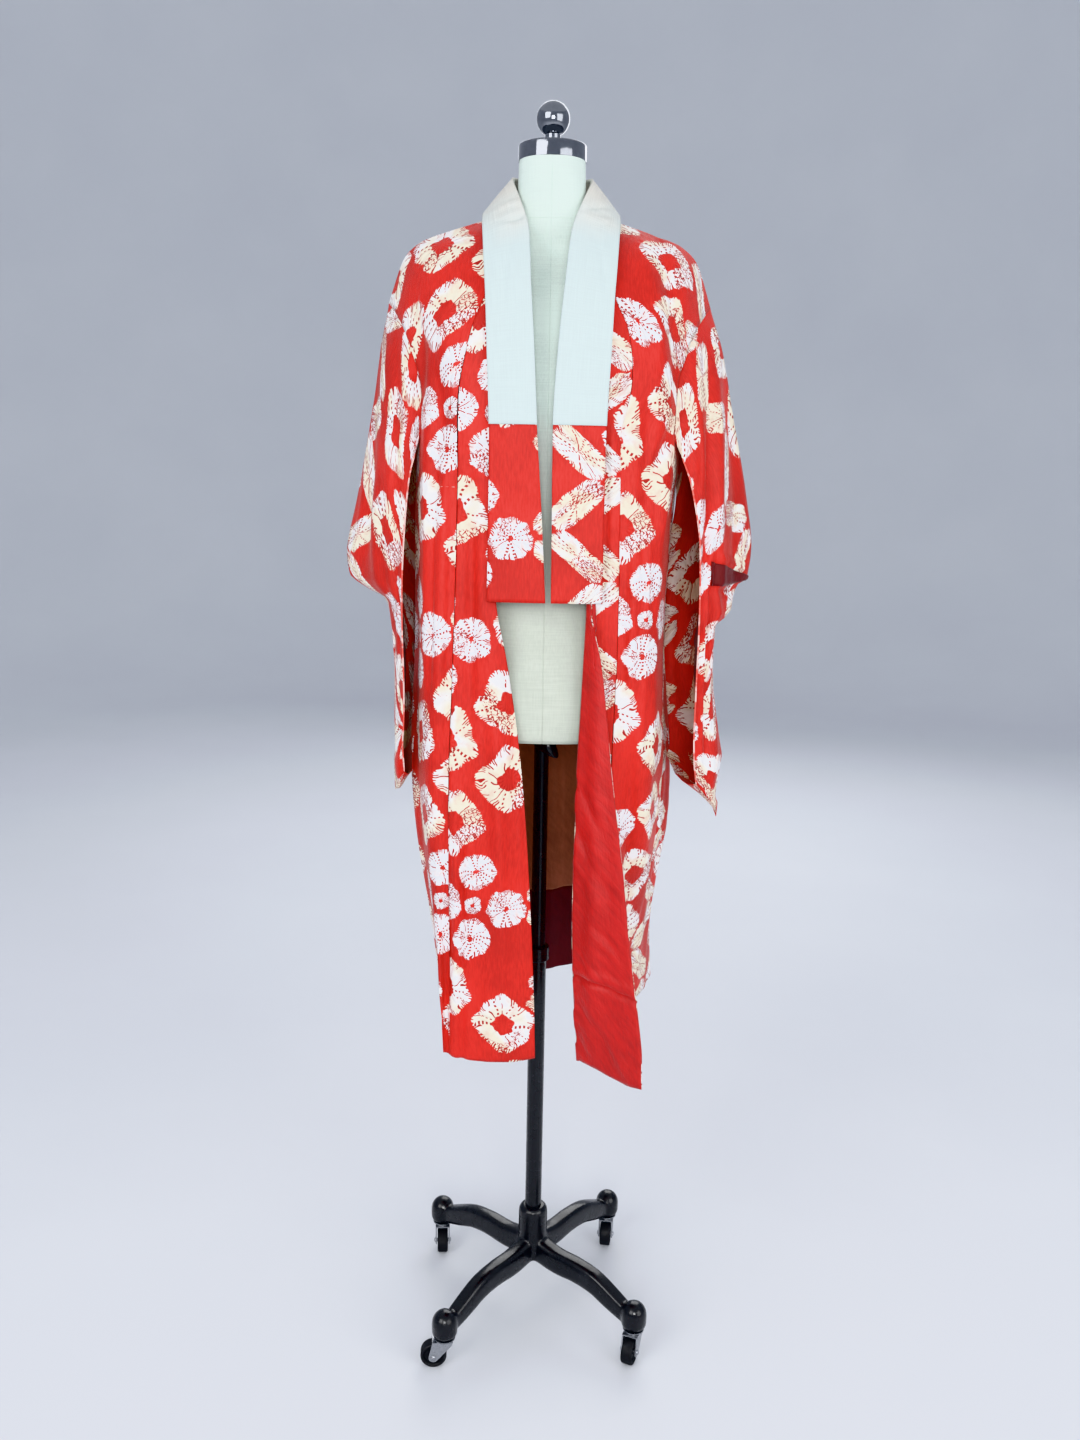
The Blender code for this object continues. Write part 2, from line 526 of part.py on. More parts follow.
def collar_grid():
    """From the right front end round the neck to the left end: outer edge to inner edge across."""
    stations = table(COLLAR_COLUMNS, COLLAR)
    outer = xyz(stations["outer_x"], stations["outer_y"], stations["outer_z"])
    below_neck = stations["inner_z"] < COLLAR_OPENS
    half_edges = {}
    for side, sign in SIDES.items():
        inner_x = stations[f"{side}_in"] * np.where(below_neck, 1, sign)
        inner = xyz(inner_x, stations["inner_y"], stations["inner_z"])
        half_edges[side] = np.stack([outer * (sign, 1, 1), inner], axis=1)
    whole = np.concatenate([half_edges["right"], half_edges["left"][-2::-1]])
    rows = loft(whole, COLLAR_ROWS_PER_STATION * (len(whole) - 1))
    across = np.linspace(0, 1, COLLAR_ACROSS + 1)
    grid = rows[:, :1] + (rows[:, 1:] - rows[:, :1]) * across[None, :, None]
    return grid + COLLAR_CROWN * np.sin(pi * across)[None, :, None] * grid_normals(grid)


def make_collar():
    band = collar_grid()
    cloth("collar_band", [band], COLLAR_WALL, "red_silk")
    end = COLLAR_ROWS_PER_STATION * COVER_END
    cover = (band + (CLOTH + COVER_GAP) * grid_normals(band))[end:-end]
    cloth("collar_cover", [cover], CLOTH, "linen")


# ---- the sleeves ----
SLEEVE_ROWS = 15
MOUTH_ROWS = range(7, 12)
CUFF_FACING_COLUMNS = 3
ARMHOLE_HALF, ARMHOLE_LIFT = 0.09, 0.15         # the sleeve's edge leans out from the armhole's middle
CUFF_FACING_TOP = {"right": 8, "left": 7}       # first row where the two layers stand far enough apart


def sleeve_grids(grids, side):
    """Front and back layers, from the armhole down, and the strip that joins them along the bottom."""
    sign = SIDES[side]
    _, front, back = grids[side]
    lines = table(SLEEVE_COLUMNS, SLEEVES[side])

    def line(name):
        return xyz(sign * lines[f"{name}_x"], lines[f"{name}_y"], lines[f"{name}_z"])

    mouth = MOUTH_HALF * lines["mouth"]
    outer_front, outer_back = line("outer"), line("outer")
    outer_front[:, 1] -= mouth
    outer_back[:, 1] += mouth
    places = np.linspace(0, 1, YOKE_ROWS + 1)
    layers = []
    for edge, stations in ((front[:, FRONT_COLUMNS], (line("furi"), line("mid"), outer_front)),
                           (back[:, 0], (line("rear"), line("back"), outer_back))):
        rows = np.swapaxes(spline((0, 0.5, 1), np.stack(stations), places), 0, 1)
        armhole = edge + outward_from_body(edge, sign)
        layers.append(loft(np.concatenate([armhole[None], rows]), SLEEVE_ROWS))
    front_layer, back_layer = layers
    ridge = (front_layer[0, -1] + back_layer[0, -1]) / 2
    front_layer[0, -1] = back_layer[0, -1] = ridge
    return front_layer, back_layer


def outward_from_body(edge, sign):
    """The armhole's edge moved off the body, so that the sleeve's wall clears it."""
    away = xyz(sign, edge[:, 1] / ARMHOLE_HALF, ARMHOLE_LIFT)
    return away / np.linalg.norm(away, axis=-1, keepdims=True) * 2 * LAP


def closed_layers(front_layer, back_layer):
    """The two layers made to share their outer edge except along the cuff's mouth."""
    shared = [row for row in range(len(front_layer)) if row not in MOUTH_ROWS]
    middle = (front_layer[shared, -1] + back_layer[shared, -1]) / 2
    front_layer[shared, -1] = middle
    back_layer[shared, -1] = middle
    return front_layer, back_layer


def make_sleeves(grids):
    """Each sleeve: a front and a back layer, open at the cuff and beside the body, and a narrow bottom."""
    for side in SIDES:
        front_layer, back_layer = closed_layers(*sleeve_grids(grids, side))
        low = (front_layer[-1] + back_layer[-1]) / 2 - np.array([0, 0, SLEEVE_BOTTOM_SAG])
        low[-1] = front_layer[-1, -1]
        bottom = np.stack([front_layer[-1], low, back_layer[-1]])
        patches = [front_layer[::-1], back_layer, bottom[::-1]]
        cloth(f"sleeve_{side}", [patch if side == "left" else patch[:, ::-1] for patch in patches], CLOTH,
              "red_silk")
        make_cuff_facing(side, front_layer, back_layer)


def make_cuff_facing(side, front_layer, back_layer):
    """A strip round the inside of the cuff's open edge, down the front layer and up the back one."""
    rows = slice(CUFF_FACING_TOP[side], MOUTH_ROWS[-1] + 1)
    front, back = front_layer[rows, -CUFF_FACING_COLUMNS:], back_layer[rows, -CUFF_FACING_COLUMNS:]
    turn = (front[-1:] + back[-1:]) / 2
    strip = np.concatenate([front, turn, back[::-1]])
    outward = grid_normals(strip) * (-1 if side == "left" else 1)
    inside = strip - (CLOTH + LINING_GAP) * outward
    inside = facing_out(side, inside[:, ::-1])
    cloth(f"cuff_facing_{side}", [inside], THIN_CLOTH, "plain_red_silk")


# ---- the form ----
TORSO_SEGMENTS = 28


def make_torso():
    """Superellipse rings from the flat bottom to the neck, closed by flat caps."""
    rows = table(TORSO_COLUMNS, TORSO)
    angles = np.linspace(0, 2 * pi, TORSO_SEGMENTS, endpoint=False)
    across, deep = np.cos(angles), np.sin(angles)
    round_off = (np.abs(across) ** TORSO_POWER + np.abs(deep) ** TORSO_POWER) ** (-1 / TORSO_POWER)
    shape = bmesh.new()
    rings = []
    for z, half_width, front, back in zip(*(rows[name] for name in TORSO_COLUMNS)):
        depth = np.where(deep < 0, front, back)
        ring = xyz(half_width * across * round_off, depth * deep * round_off, z)
        rings.append([shape.verts.new(point) for point in ring.tolist()])
    for low, high in zip(rings, rings[1:]):
        for i in range(TORSO_SEGMENTS):
            j = (i + 1) % TORSO_SEGMENTS
            shape.faces.new((low[i], low[j], high[j], high[i]))
    shape.faces.new(rings[-1])
    shape.faces.new(rings[0][::-1])
    new_object("torso", mesh_of(shape, "torso"), "form_cover")


def arc(centre_r, centre_z, radius, start, end, steps):
    """Profile points on a circle, from one angle to another in degrees."""
    return [(centre_r + radius * cos(radians(a)), centre_z + radius * sin(radians(a)))
            for a in np.linspace(start, end, steps + 1)]


def make_neck_cap():
    bottom, top, edge = NECK_TOP + SEAM_GAP, NECK_TOP + CAP_HEIGHT, 0.002
    turned("neck_cap", [(0, bottom), (CAP_RADIUS, bottom), (CAP_RADIUS, top - edge),
                        (CAP_RADIUS - edge, top), (0, top)], "chrome")


def make_knob():
    """A ball on a short stem with a small foot."""
    low = NECK_TOP + CAP_HEIGHT + SEAM_GAP
    ball_starts = -62          # degrees, where the stem meets it
    ball = arc(0, KNOB_CENTRE, KNOB_RADIUS, ball_starts, 90, 10)
    foot = [(0, low), (KNOB_FOOT_RADIUS, low), (KNOB_FOOT_RADIUS, low + KNOB_FOOT_HEIGHT),
            (KNOB_STEM_RADIUS, low + 2 * KNOB_FOOT_HEIGHT)]
    turned("knob", foot + ball[:-1] + [(0, KNOB_CENTRE + KNOB_RADIUS)], "chrome", segments=24)


# ---- the pole ----
FLANGE_RADIUS, FLANGE_HEIGHT, FLANGE_FILLET = 0.0280, 0.006, 0.004
RING_RADIUS, RING_HEIGHT, RING_EDGE = 0.0165, 0.024, 0.0015
# The clamp's lever, in front of the tube just below the flange: its middle and half sizes, left to right.
LEVER_COLUMNS = ("x", "y", "below", "half_depth", "half_height")
LEVER = (
    (-0.0080, -0.0115, 0.0130, 0.0035, 0.0050), (0.0030, -0.0145, 0.0125, 0.0065, 0.0072),
    (0.0120, -0.0155, 0.0155, 0.0055, 0.0075), (0.0205, -0.0150, 0.0220, 0.0035, 0.0045),
)
LEVER_STEPS = 6


def make_pole():
    """The sliding tube with its flange and the clamp's lever, the tube it slides in, and the ring."""
    top = FORM_BOTTOM - SEAM_GAP
    r = UPPER_TUBE_RADIUS
    post = turned("post", [(0, UPPER_TUBE_BOTTOM), (r, UPPER_TUBE_BOTTOM), (r, top - 3 * FLANGE_HEIGHT),
                           (r + FLANGE_FILLET, top - FLANGE_HEIGHT), (FLANGE_RADIUS, top - FLANGE_HEIGHT),
                           (FLANGE_RADIUS, top), (0, top)], "black_enamel", segments=20)
    rows = loft(np.array(LEVER), LEVER_STEPS)
    rings = [[(x, y + across, top - below + up) for across, up in leg_section(half_depth, half_height)]
             for x, y, below, half_depth, half_height in rows.tolist()]
    lever = new_object("lever", mesh_of(skin(rings), "lever"), "black_enamel")
    union("upper_tube", [post, lever], "black_enamel")
    bottom = HUB_SOCKET_BOTTOM + SEAM_GAP
    tube("lower_tube", LOWER_TUBE_BORE, LOWER_TUBE_RADIUS, bottom, LOWER_TUBE_TOP, 0)
    tube("height_collar", LOWER_TUBE_RADIUS + SEAM_GAP, RING_RADIUS, LOWER_TUBE_TOP - RING_HEIGHT,
         LOWER_TUBE_TOP - RING_EDGE, RING_EDGE)


def tube(name, bore, radius, bottom, top, edge):
    """A tube with an open bore; its outer rims are chamfered by edge, unless that is 0."""
    sharp = [(radius, bottom), (radius, top)]
    eased = [(radius - edge, bottom), (radius, bottom + edge), (radius, top - edge), (radius - edge, top)]
    turned(name, [(bore, bottom)] + (eased if edge else sharp) + [(bore, top)], "black_enamel", segments=20)


# ---- the base casting ----
HUB_SOCKET_BOTTOM, HUB_SOCKET_RADIUS, HUB_EDGE = 0.100, 0.0129, 0.0045
DOME_EDGE = 0.0065
LEG_COLUMNS = ("reach", "z", "half_width", "half_height")
LEG = (
    (0.0150, 0.0930, 0.0098, 0.0160), (0.050, 0.0870, 0.0098, 0.0155), (0.090, 0.0885, 0.0098, 0.0152),
    (0.125, 0.0845, 0.0096, 0.0150), (0.155, 0.0730, 0.0095, 0.0140), (0.183, 0.0620, 0.0092, 0.0125),
)
LEG_STEPS = 9
LEG_BEVEL = 0.45           # share of a leg's half width that its long edges are bevelled by


def union(name, parts, finish):
    """One solid from parts that overlap; the parts are removed."""
    base = parts[0]
    for part in parts[1:]:
        boolean = base.modifiers.new(part.name, "BOOLEAN")
        boolean.operation = "UNION"
        boolean.object = part
    evaluated = base.evaluated_get(bpy.context.evaluated_depsgraph_get())
    mesh = bpy.data.meshes.new_from_object(evaluated)
    mesh.transform(base.matrix_world)
    mesh.materials.clear()
    for part in parts:
        bpy.data.objects.remove(part, do_unlink=True)
    mesh.name = name
    return new_object(name, mesh, finish)


def skin(rings):
    """A closed solid over rings of points, with a flat face at each end."""
    shape = bmesh.new()
    rings = [[shape.verts.new(point) for point in ring] for ring in rings]
    for low, high in zip(rings, rings[1:]):
        for i in range(len(low)):
            j = (i + 1) % len(low)
            shape.faces.new((low[i], low[j], high[j], high[i]))
    shape.faces.new(rings[0][::-1])
    shape.faces.new(rings[-1])
    bmesh.ops.recalc_face_normals(shape, faces=shape.faces)
    return shape


def leg_section(half_width, half_height):
    """An eight-sided section with bevelled corners, upright across the leg."""
    w, h = half_width, half_height
    b = LEG_BEVEL * half_width
    right = [(w, b - h), (w, h - b), (w - b, h), (b - w, h)]
    return right + [(-across, -up) for across, up in right]


def make_leg(angle):
    """Sections along the leg's curve, square to it."""
    rows = table(LEG_COLUMNS, LEG)
    knots = rows["reach"]
    reach = np.linspace(knots[0], knots[-1], LEG_STEPS + 1)
    z, half_width, half_height = (spline(knots, rows[name], reach) for name in LEG_COLUMNS[1:])
    slope = np.arctan(np.gradient(z, reach))
    rings = []
    for r, height, tilt, w, h in zip(reach, z, slope, half_width, half_height):
        tilt = 0 if r == knots[0] else tilt
        rings.append([(r - up * sin(tilt), across, height + up * cos(tilt))
                      for across, up in leg_section(w, h)])
    shape = skin(rings)
    bmesh.ops.rotate(shape, verts=shape.verts, cent=(0, 0, 0), matrix=Matrix.Rotation(angle, 3, "Z"))
    return new_object("leg", mesh_of(shape, "leg"), "black_enamel")


def make_base():
    """A hub with a socket for the pole, joined to four legs that each end in a dome."""
    low, high = HUB_BOTTOM + HUB_EDGE, HUB_TOP - 1.5 * HUB_EDGE
    hub = turned("hub", [(0, HUB_BOTTOM), (HUB_RADIUS - HUB_EDGE, HUB_BOTTOM), (HUB_RADIUS, low),
                         (HUB_RADIUS, high), (HUB_RADIUS - HUB_EDGE, HUB_TOP), (HUB_SOCKET_RADIUS, HUB_TOP),
                         (HUB_SOCKET_RADIUS, HUB_SOCKET_BOTTOM), (0, HUB_SOCKET_BOTTOM)],
                 "black_enamel", segments=24)
    parts = [hub]
    for angle in CASTOR_ANGLES.values():
        parts.append(make_leg(radians(angle)))
        crown = arc(0, DOME_TOP - DOME_RADIUS, DOME_RADIUS, 0, 90, 5)
        dome = turned("dome", [(0, DOME_BOTTOM), (DOME_RADIUS - DOME_EDGE, DOME_BOTTOM),
                               (DOME_RADIUS, DOME_BOTTOM + DOME_EDGE)] + crown[:-1] + [(0, DOME_TOP)],
                      "black_enamel", segments=20)
        dome.data.transform(Matrix.Translation(swivel_axis(angle)))
        parts.append(dome)
    union("base_casting", parts, "black_enamel")


# ---- the castors ----
WHEEL_SIDES, WHEEL_EDGE = 24, 0.003
AXLE_RADIUS, WHEEL_BORE = 0.0030, 0.0035
RACE_RADIUS = 0.0135
FORK_TOP = DOME_BOTTOM - SEAM_GAP
FORK_PLATE_BOTTOM, FORK_PLATE_TOP = 0.0415, 0.0435
PLATE_BACK, PLATE_FRONT = -0.012, 0.018
CHEEK_WALL, CHEEK_MIDDLE, CHEEK_LUG_RADIUS = 0.0018, 0.0107, 0.0070
CHEEK_OUTER = CHEEK_MIDDLE + CHEEK_WALL / 2
CHEEK_SHOULDER = 0.004
AXLE_END = CHEEK_OUTER + 0.001


def swivel_axis(angle):
    return Vector((CASTOR_RADIUS * cos(radians(angle)), CASTOR_RADIUS * sin(radians(angle)), 0))


def fork_solid():
    """The race, the yoke's plate, two cheeks down to the axle, and the axle; it trails along +X."""
    race_bottom = (FORK_PLATE_BOTTOM + FORK_PLATE_TOP) / 2
    race = [(0, race_bottom), (RACE_RADIUS, race_bottom), (RACE_RADIUS, FORK_TOP), (0, FORK_TOP)]
    parts = [turned("race", race, "zinc", segments=20)]
    plate = [(PLATE_BACK, -CHEEK_OUTER), (PLATE_FRONT, -CHEEK_OUTER), (PLATE_FRONT, CHEEK_OUTER),
             (PLATE_BACK, CHEEK_OUTER)]
    parts.append(extruded(plate, FORK_PLATE_BOTTOM, FORK_PLATE_TOP))
    lug = arc(TRAIL, WHEEL_RADIUS, CHEEK_LUG_RADIUS, 215, 385, 7)
    rim, inset = FORK_PLATE_TOP - SEAM_GAP, 0.0005
    cheek = [(PLATE_BACK + inset, rim), (PLATE_BACK + 2 * inset, rim - CHEEK_SHOULDER)] + lug + [
        (PLATE_FRONT - inset, rim)]
    upright = Matrix.Rotation(pi / 2, 4, "X")
    for middle in (-CHEEK_MIDDLE, CHEEK_MIDDLE):
        side = extruded(cheek, middle - CHEEK_WALL / 2, middle + CHEEK_WALL / 2)
        side.data.transform(upright)
        parts.append(side)
    axle = turned("axle", [(0, -AXLE_END), (AXLE_RADIUS, -AXLE_END), (AXLE_RADIUS, AXLE_END), (0, AXLE_END)],
                  "zinc", segments=12)
    axle.data.transform(Matrix.Translation((TRAIL, 0, WHEEL_RADIUS)) @ upright)
    return union("fork", parts + [axle], "zinc")


def extruded(outline, bottom, top):
    """An upright prism over an outline given anticlockwise."""
    shape = bmesh.new()
    low = [shape.verts.new((x, y, bottom)) for x, y in outline]
    high = [shape.verts.new((x, y, top)) for x, y in outline]
    shape.faces.new(low[::-1])
    shape.faces.new(high)
    for i in range(len(outline)):
        j = (i + 1) % len(outline)
        shape.faces.new((low[i], low[j], high[j], high[i]))
    bmesh.ops.recalc_face_normals(shape, faces=shape.faces)
    return new_object("prism", mesh_of(shape, "prism"), "zinc")


def wheel_solid():
    """A wheel about its axle, along Y, with a bore, bevelled shoulders and a flat facet underneath."""
    corner = WHEEL_RADIUS / cos(pi / WHEEL_SIDES)
    half, edge = WHEEL_WIDTH / 2, WHEEL_EDGE
    wheel = turned("wheel", [(WHEEL_BORE, -half), (corner - edge, -half), (corner, edge - half),
                             (corner, half - edge), (corner - edge, half), (WHEEL_BORE, half)], "black_tyre",
                   segments=WHEEL_SIDES)
    wheel.data.transform(Matrix.Rotation(pi / 2, 4, "X") @ Matrix.Rotation(pi / WHEEL_SIDES, 4, "Z"))
    return wheel


def make_castors():
    """Four copies of the fork, its origin on the swivel axis, and of the wheel, its origin on the axle."""
    fork, wheel = fork_solid(), wheel_solid()
    for corner, angle in CASTOR_ANGLES.items():
        heading = Matrix.Rotation(radians(TRAIL_ANGLES[corner]), 3, "Z")
        for pattern, offset in ((fork, (0, 0, 0)), (wheel, (TRAIL, 0, WHEEL_RADIUS))):
            copy = bpy.data.objects.new(f"{pattern.name}_{corner}", pattern.data)
            bpy.context.scene.collection.objects.link(copy)
            copy.location = swivel_axis(angle) + heading @ Vector(offset)
            copy.rotation_euler = heading.to_euler()
    for pattern in (fork, wheel):
        bpy.data.objects.remove(pattern, do_unlink=True)


def main():
    clear_scene()
    grids = make_bodies()
    make_overlaps(grids)
    make_linings(grids)
    make_collar()
    make_sleeves(grids)
    make_torso()
    make_neck_cap()
    make_knob()
    make_pole()
    make_base()
    make_castors()
    for obj in bpy.data.objects:
        if not obj.name.startswith(CARRIED_BY_BASE):
            obj.location.z = POLE_SETTING


main()
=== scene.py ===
"""Looks for a silk under-kimono worn open on a limbless dress form with a castor stand.

Frame: metres, +Z up, the floor at z = 0, the pole's axis on the Z axis, the garment's front towards -Y and
the wearer's right at -X. Tables of rows and turned profiles are in millimetres, and lengths are otherwise in
metres, unless a comment says so. The cloth is lofted through the same sections as its solids, on finer grids,
with creases pressed in along the normals. Each cloth piece has two UV maps: "cloth" is the place on the cut,
in metres, and "motif" is the place in the nearest dyed motif, in radii of that motif.
"""
from math import cos, pi, radians, sin

import bmesh
import bpy
import numpy as np
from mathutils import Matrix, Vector


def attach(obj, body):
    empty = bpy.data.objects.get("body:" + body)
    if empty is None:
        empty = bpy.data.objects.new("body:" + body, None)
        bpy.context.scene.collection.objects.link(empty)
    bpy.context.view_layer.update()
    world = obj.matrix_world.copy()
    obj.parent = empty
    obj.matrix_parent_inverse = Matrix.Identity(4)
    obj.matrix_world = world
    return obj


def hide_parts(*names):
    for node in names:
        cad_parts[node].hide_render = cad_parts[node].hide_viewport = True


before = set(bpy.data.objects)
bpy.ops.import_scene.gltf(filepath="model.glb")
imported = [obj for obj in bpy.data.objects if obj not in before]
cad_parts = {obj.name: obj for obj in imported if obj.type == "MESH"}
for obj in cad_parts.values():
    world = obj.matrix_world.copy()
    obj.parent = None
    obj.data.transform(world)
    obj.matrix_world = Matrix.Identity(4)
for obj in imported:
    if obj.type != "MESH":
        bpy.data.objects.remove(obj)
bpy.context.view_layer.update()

# ---- the solids' own dimensions ----
SIDES = {"right": -1, "left": 1}
CLOTH = 0.0015              # wall of the solids' silk pieces
COLLAR_WALL = 0.0020        # the collar is a folded strip
SEAM_GAP = 0.0003           # between neighbouring pieces
LAP = CLOTH + SEAM_GAP      # how far out a piece lies that covers another's edge
POLE_SETTING = -0.008       # the pole's height above its mark; cloth and form are drawn with it at the mark

# ---- the cloth's sections ----
MM = 1000                   # millimetres in a metre
# One row for each level of a body panel, |x| growing away from the middle, y towards the back.
LEVEL_COLUMNS = ("z", "seam_x", "seam_y", "corner_x", "corner_y", "side_x", "side_y", "rear_x", "rear_y",
                 "back_y")
LEVELS = {
    "right": (
        (480, 122, -122, 131.5, -100, 136, -20, 125, 135, 180),
        (560, 126, -125, 136, -98, 142, -20, 128, 132, 175),
        (660, 126, -126, 144, -95, 153, -15, 136, 130, 168),
        (780, 125, -128, 156, -95, 170, -10, 145, 127, 159),
        (900, 123, -130, 161, -100, 178, -5, 150, 122, 150),
        (1050, 118, -130, 160, -104, 175, 0, 147, 114, 140),
        (1200, 114, -129, 160, -100, 176, -5, 146, 106, 132),
        (1330, 113, -128, 164, -83, 176, -5, 158, 92, 128),
    ),
    "left": (
        (480, 76, -122, 126, -20, 176, 80, 155, 165, 180), (560, 79, -124, 130, -30, 171, 70, 153, 158, 175),
        (660, 83, -126, 137, -48, 172, 55, 153, 148, 168), (780, 88, -128, 148, -72, 180, 30, 156, 137, 159),
        (900, 92, -130, 152, -92, 178, 10, 154, 125, 150),
        (1050, 96, -130, 150, -104, 167, 0, 146, 114, 140),
        (1200, 95, -130, 152, -100, 171, -5, 146, 106, 132),
        (1330, 94, -129, 164, -83, 180, -5, 158, 92, 128),
    ),
}
LEVEL_KNOTS = (0.00, 0.30, 0.46, 0.64, 0.84, 1.00)      # seam, corner, side, rear, nape, centre back
NAPE_X = 0.080
NAPE_RISE = 0.006           # the nape column is this much nearer than the centre
# The left half hangs shorter: its hem's rise at each knot, in millimetres, which dies out over HEM_EASE.
HEM_RISE = {"right": (0, 0, 0, 0, 0, 0), "left": (0, 34, 38, 34, 24, 0)}
HEM_EASE = 0.45
# Above the armpit the front and the back are two sheets that meet in the shoulder's ridge.
YOKE_COLUMNS = ("front_x", "front_y", "front_z", "arm_x", "arm_z", "arm_front_y", "arm_back_y",
                "nape_y", "nape_z", "centre_y", "centre_z")
YOKE = (
    (105, -121, 1430, 168, 1392, -78, 86, 118, 1430, 123, 1430),
    (80, -98, 1505, 181, 1447, -58, 66, 100, 1515, 107, 1515),
    (80, -52, 1570, 198.5, 1480, -30, 36, 60, 1574, 86, 1566),
    (81, 2, 1607, 213.5, 1500, 3, 3, 2, 1607, 66, 1600),
)
SHOULDER_SLOPE, SHOULDER_DROP_POWER = 0.38, 8    # a straight slope, then a drop at the shoulder's end
SHOULDER_BEND_POWER = 2.2
NECK_LEVELS_AT = 1.5        # the neck's edge is level from 1 / this of the way to the centre seam

# Soft vertical folds in the lower body: the place round the panel and the width in thousandths of the way
# round, and between them the depth; last, where the fold dies out.
FOLDS = {
    "right": (
        (120, 4, 45, 1100), (500, -7, 60, 1120), (700, 10, 70, 1220), (860, -8, 50, 1160),
    ),
    "left": (
        (140, -5, 50, 1120), (340, 6, 50, 980), (580, -8, 60, 1080), (740, 10, 65, 1200),
        (870, -7, 42, 1100),
    ),
}
# The right overlap's free edge; it lies under the collar above the collar's end.
RIGHT_EDGE_COLUMNS = ("z", "x", "y")
RIGHT_EDGE = (
    (480, -1.5, -122), (560, -4, -125), (660, -9, -127), (780, -16.5, -129), (900, -27, -131),
    (1050, -48.5, -132), (1110, -61, -132), (1200, -62, -133), (1330, -64, -132), (1430, -67, -122),
    (1505, -71, -101),
)
# The left overlap is folded outwards below the collar: its fold and its free edge.
LEFT_EDGE_COLUMNS = ("z", "fold_x", "fold_y", "edge_x", "edge_y", "edge_z")
LEFT_EDGE = (
    (480, 59, -126, 148, -190, 450), (560, 52, -127, 138, -180, 537), (660, 46.5, -128, 124, -170, 645),
    (780, 46, -129, 109, -160, 773), (900, 49, -130, 93, -151, 896), (1000, 53, -130, 81.5, -143, 998),
    (1090, 56, -130, 69, -137, 1090), (1160, 58, -131, 52, -132, 1160), (1250, 62, -132, 56, -132, 1250),
    (1330, 64, -131, 60, -131, 1330), (1430, 68, -121, 66, -121, 1430),
    (1505, 73.5, -100.5, 71.5, -101, 1505),
)
FOLDED_BELOW = 1.1
FOLD_HALF_GAP, FOLD_REACH, FOLD_EASE = 0.0045, 0.007, 0.001
FOLD_REACH_SHARE = 0.6      # of the way to the seam, where the seam is near

# The collar: a row for each station from the front end to the centre back, with its outer and inner edges.
COLLAR_COLUMNS = ("outer_x", "outer_y", "outer_z", "right_in", "left_in", "inner_y", "inner_z")
COLLAR = (
    (74, -139.5, 1121, 1, 8, -144, 1121), (73, -140, 1230, -5.5, 7.2, -145, 1230),
    (73, -138.5, 1342, 13.5, 6.5, -146, 1342), (76.5, -129, 1425, 18.5, 11, -133, 1430),
    (80.5, -106, 1505, 24.5, 19, -106, 1518), (86, -60, 1574, 30, 28.5, -62, 1592),
    (87, 0, 1612.5, 50, 51, -2, 1652), (69, 53.3, 1598.5, 40, 41, 44, 1664),
    (0, 77.7, 1594.5, 0, 0, 57, 1667),
)
COVER_END = 2               # the cover starts at this station

# Each sleeve's lines run from the armhole down: furi (open edge by the body), mid and outer, back and rear.
SLEEVE_COLUMNS = ("furi_x", "furi_y", "furi_z", "mid_x", "mid_y", "mid_z", "outer_x", "outer_y", "outer_z",
                  "back_x", "back_y", "back_z", "rear_x", "rear_y", "rear_z")
SLEEVES = {
    "right": (
        (179, -90, 1262, 202, -78, 1320, 229, 0, 1412, 208, 82, 1325, 183, 85, 1262),
        (185, -94, 1180, 214, -78, 1225, 250, 0, 1285, 227, 74, 1225, 188, 74, 1180),
        (186, -96, 1090, 216, -74, 1110, 274, 0, 1153, 232, 60, 1118, 188, 50, 1090),
        (185, -96, 1005, 206, -76, 1030, 223, -30, 1090, 215, 40, 1040, 185, 20, 1005),
        (186, -94, 950, 203, -76, 965, 212, -30, 1000, 206, 25, 965, 184, -20, 950),
        (188, -90, 918, 200, -74, 890, 208, -34, 920, 202, 10, 900, 186, -55, 918),
        (187, -80, 880, 196, -68, 855, 205, -40, 850, 198, -15, 855, 186, -60, 880),
    ),
    "left": (
        (190, -84, 1262, 212, -74, 1320, 238, 0, 1420, 218, 82, 1325, 188, 85, 1262),
        (203, -84, 1180, 230, -66, 1225, 264, 0, 1300, 238, 76, 1225, 193, 78, 1180),
        (207, -84, 1090, 236, -62, 1110, 284, 0, 1168, 246, 64, 1118, 192, 62, 1090),
        (206, -84, 1000, 233, -66, 1020, 246, -20, 1080, 236, 46, 1030, 190, 48, 1000),
        (206, -82, 940, 233, -66, 945, 245, -20, 990, 236, 38, 950, 191, 36, 940),
        (209, -76, 885, 240, -62, 880, 254, -24, 900, 242, 20, 885, 195, 18, 885),
        (215, -60, 850, 242, -50, 826, 250, -28, 806, 236, 0, 835, 208, -10, 852),
    ),
}
MOUTH_STATIONS = (3, 4)     # rows where the cuff is open
MOUTH_HALF = 0.016          # the cuff's edges stand this far either side of the sleeve's outer line
SLEEVE_BOTTOM_SAG = 0.006

# The torso: a ring for each row.
TORSO_COLUMNS = ("z", "half_width", "front", "back")
TORSO = (
    (930, 152, 114, 110), (942, 158, 119, 116), (1000, 162, 121, 122), (1080, 146, 111, 110),
    (1170, 119, 98, 88), (1250, 130, 107, 95), (1360, 156, 121, 107), (1440, 168, 102, 104),
    (1500, 176, 74, 90), (1535, 176, 50, 70), (1560, 158, 38, 54), (1574, 118, 36, 48), (1590, 74, 40, 47),
    (1607, 55, 42, 48), (1630, 45.5, 42.5, 46), (1676, 43, 43, 45),
)
TORSO_POWER = 2.25


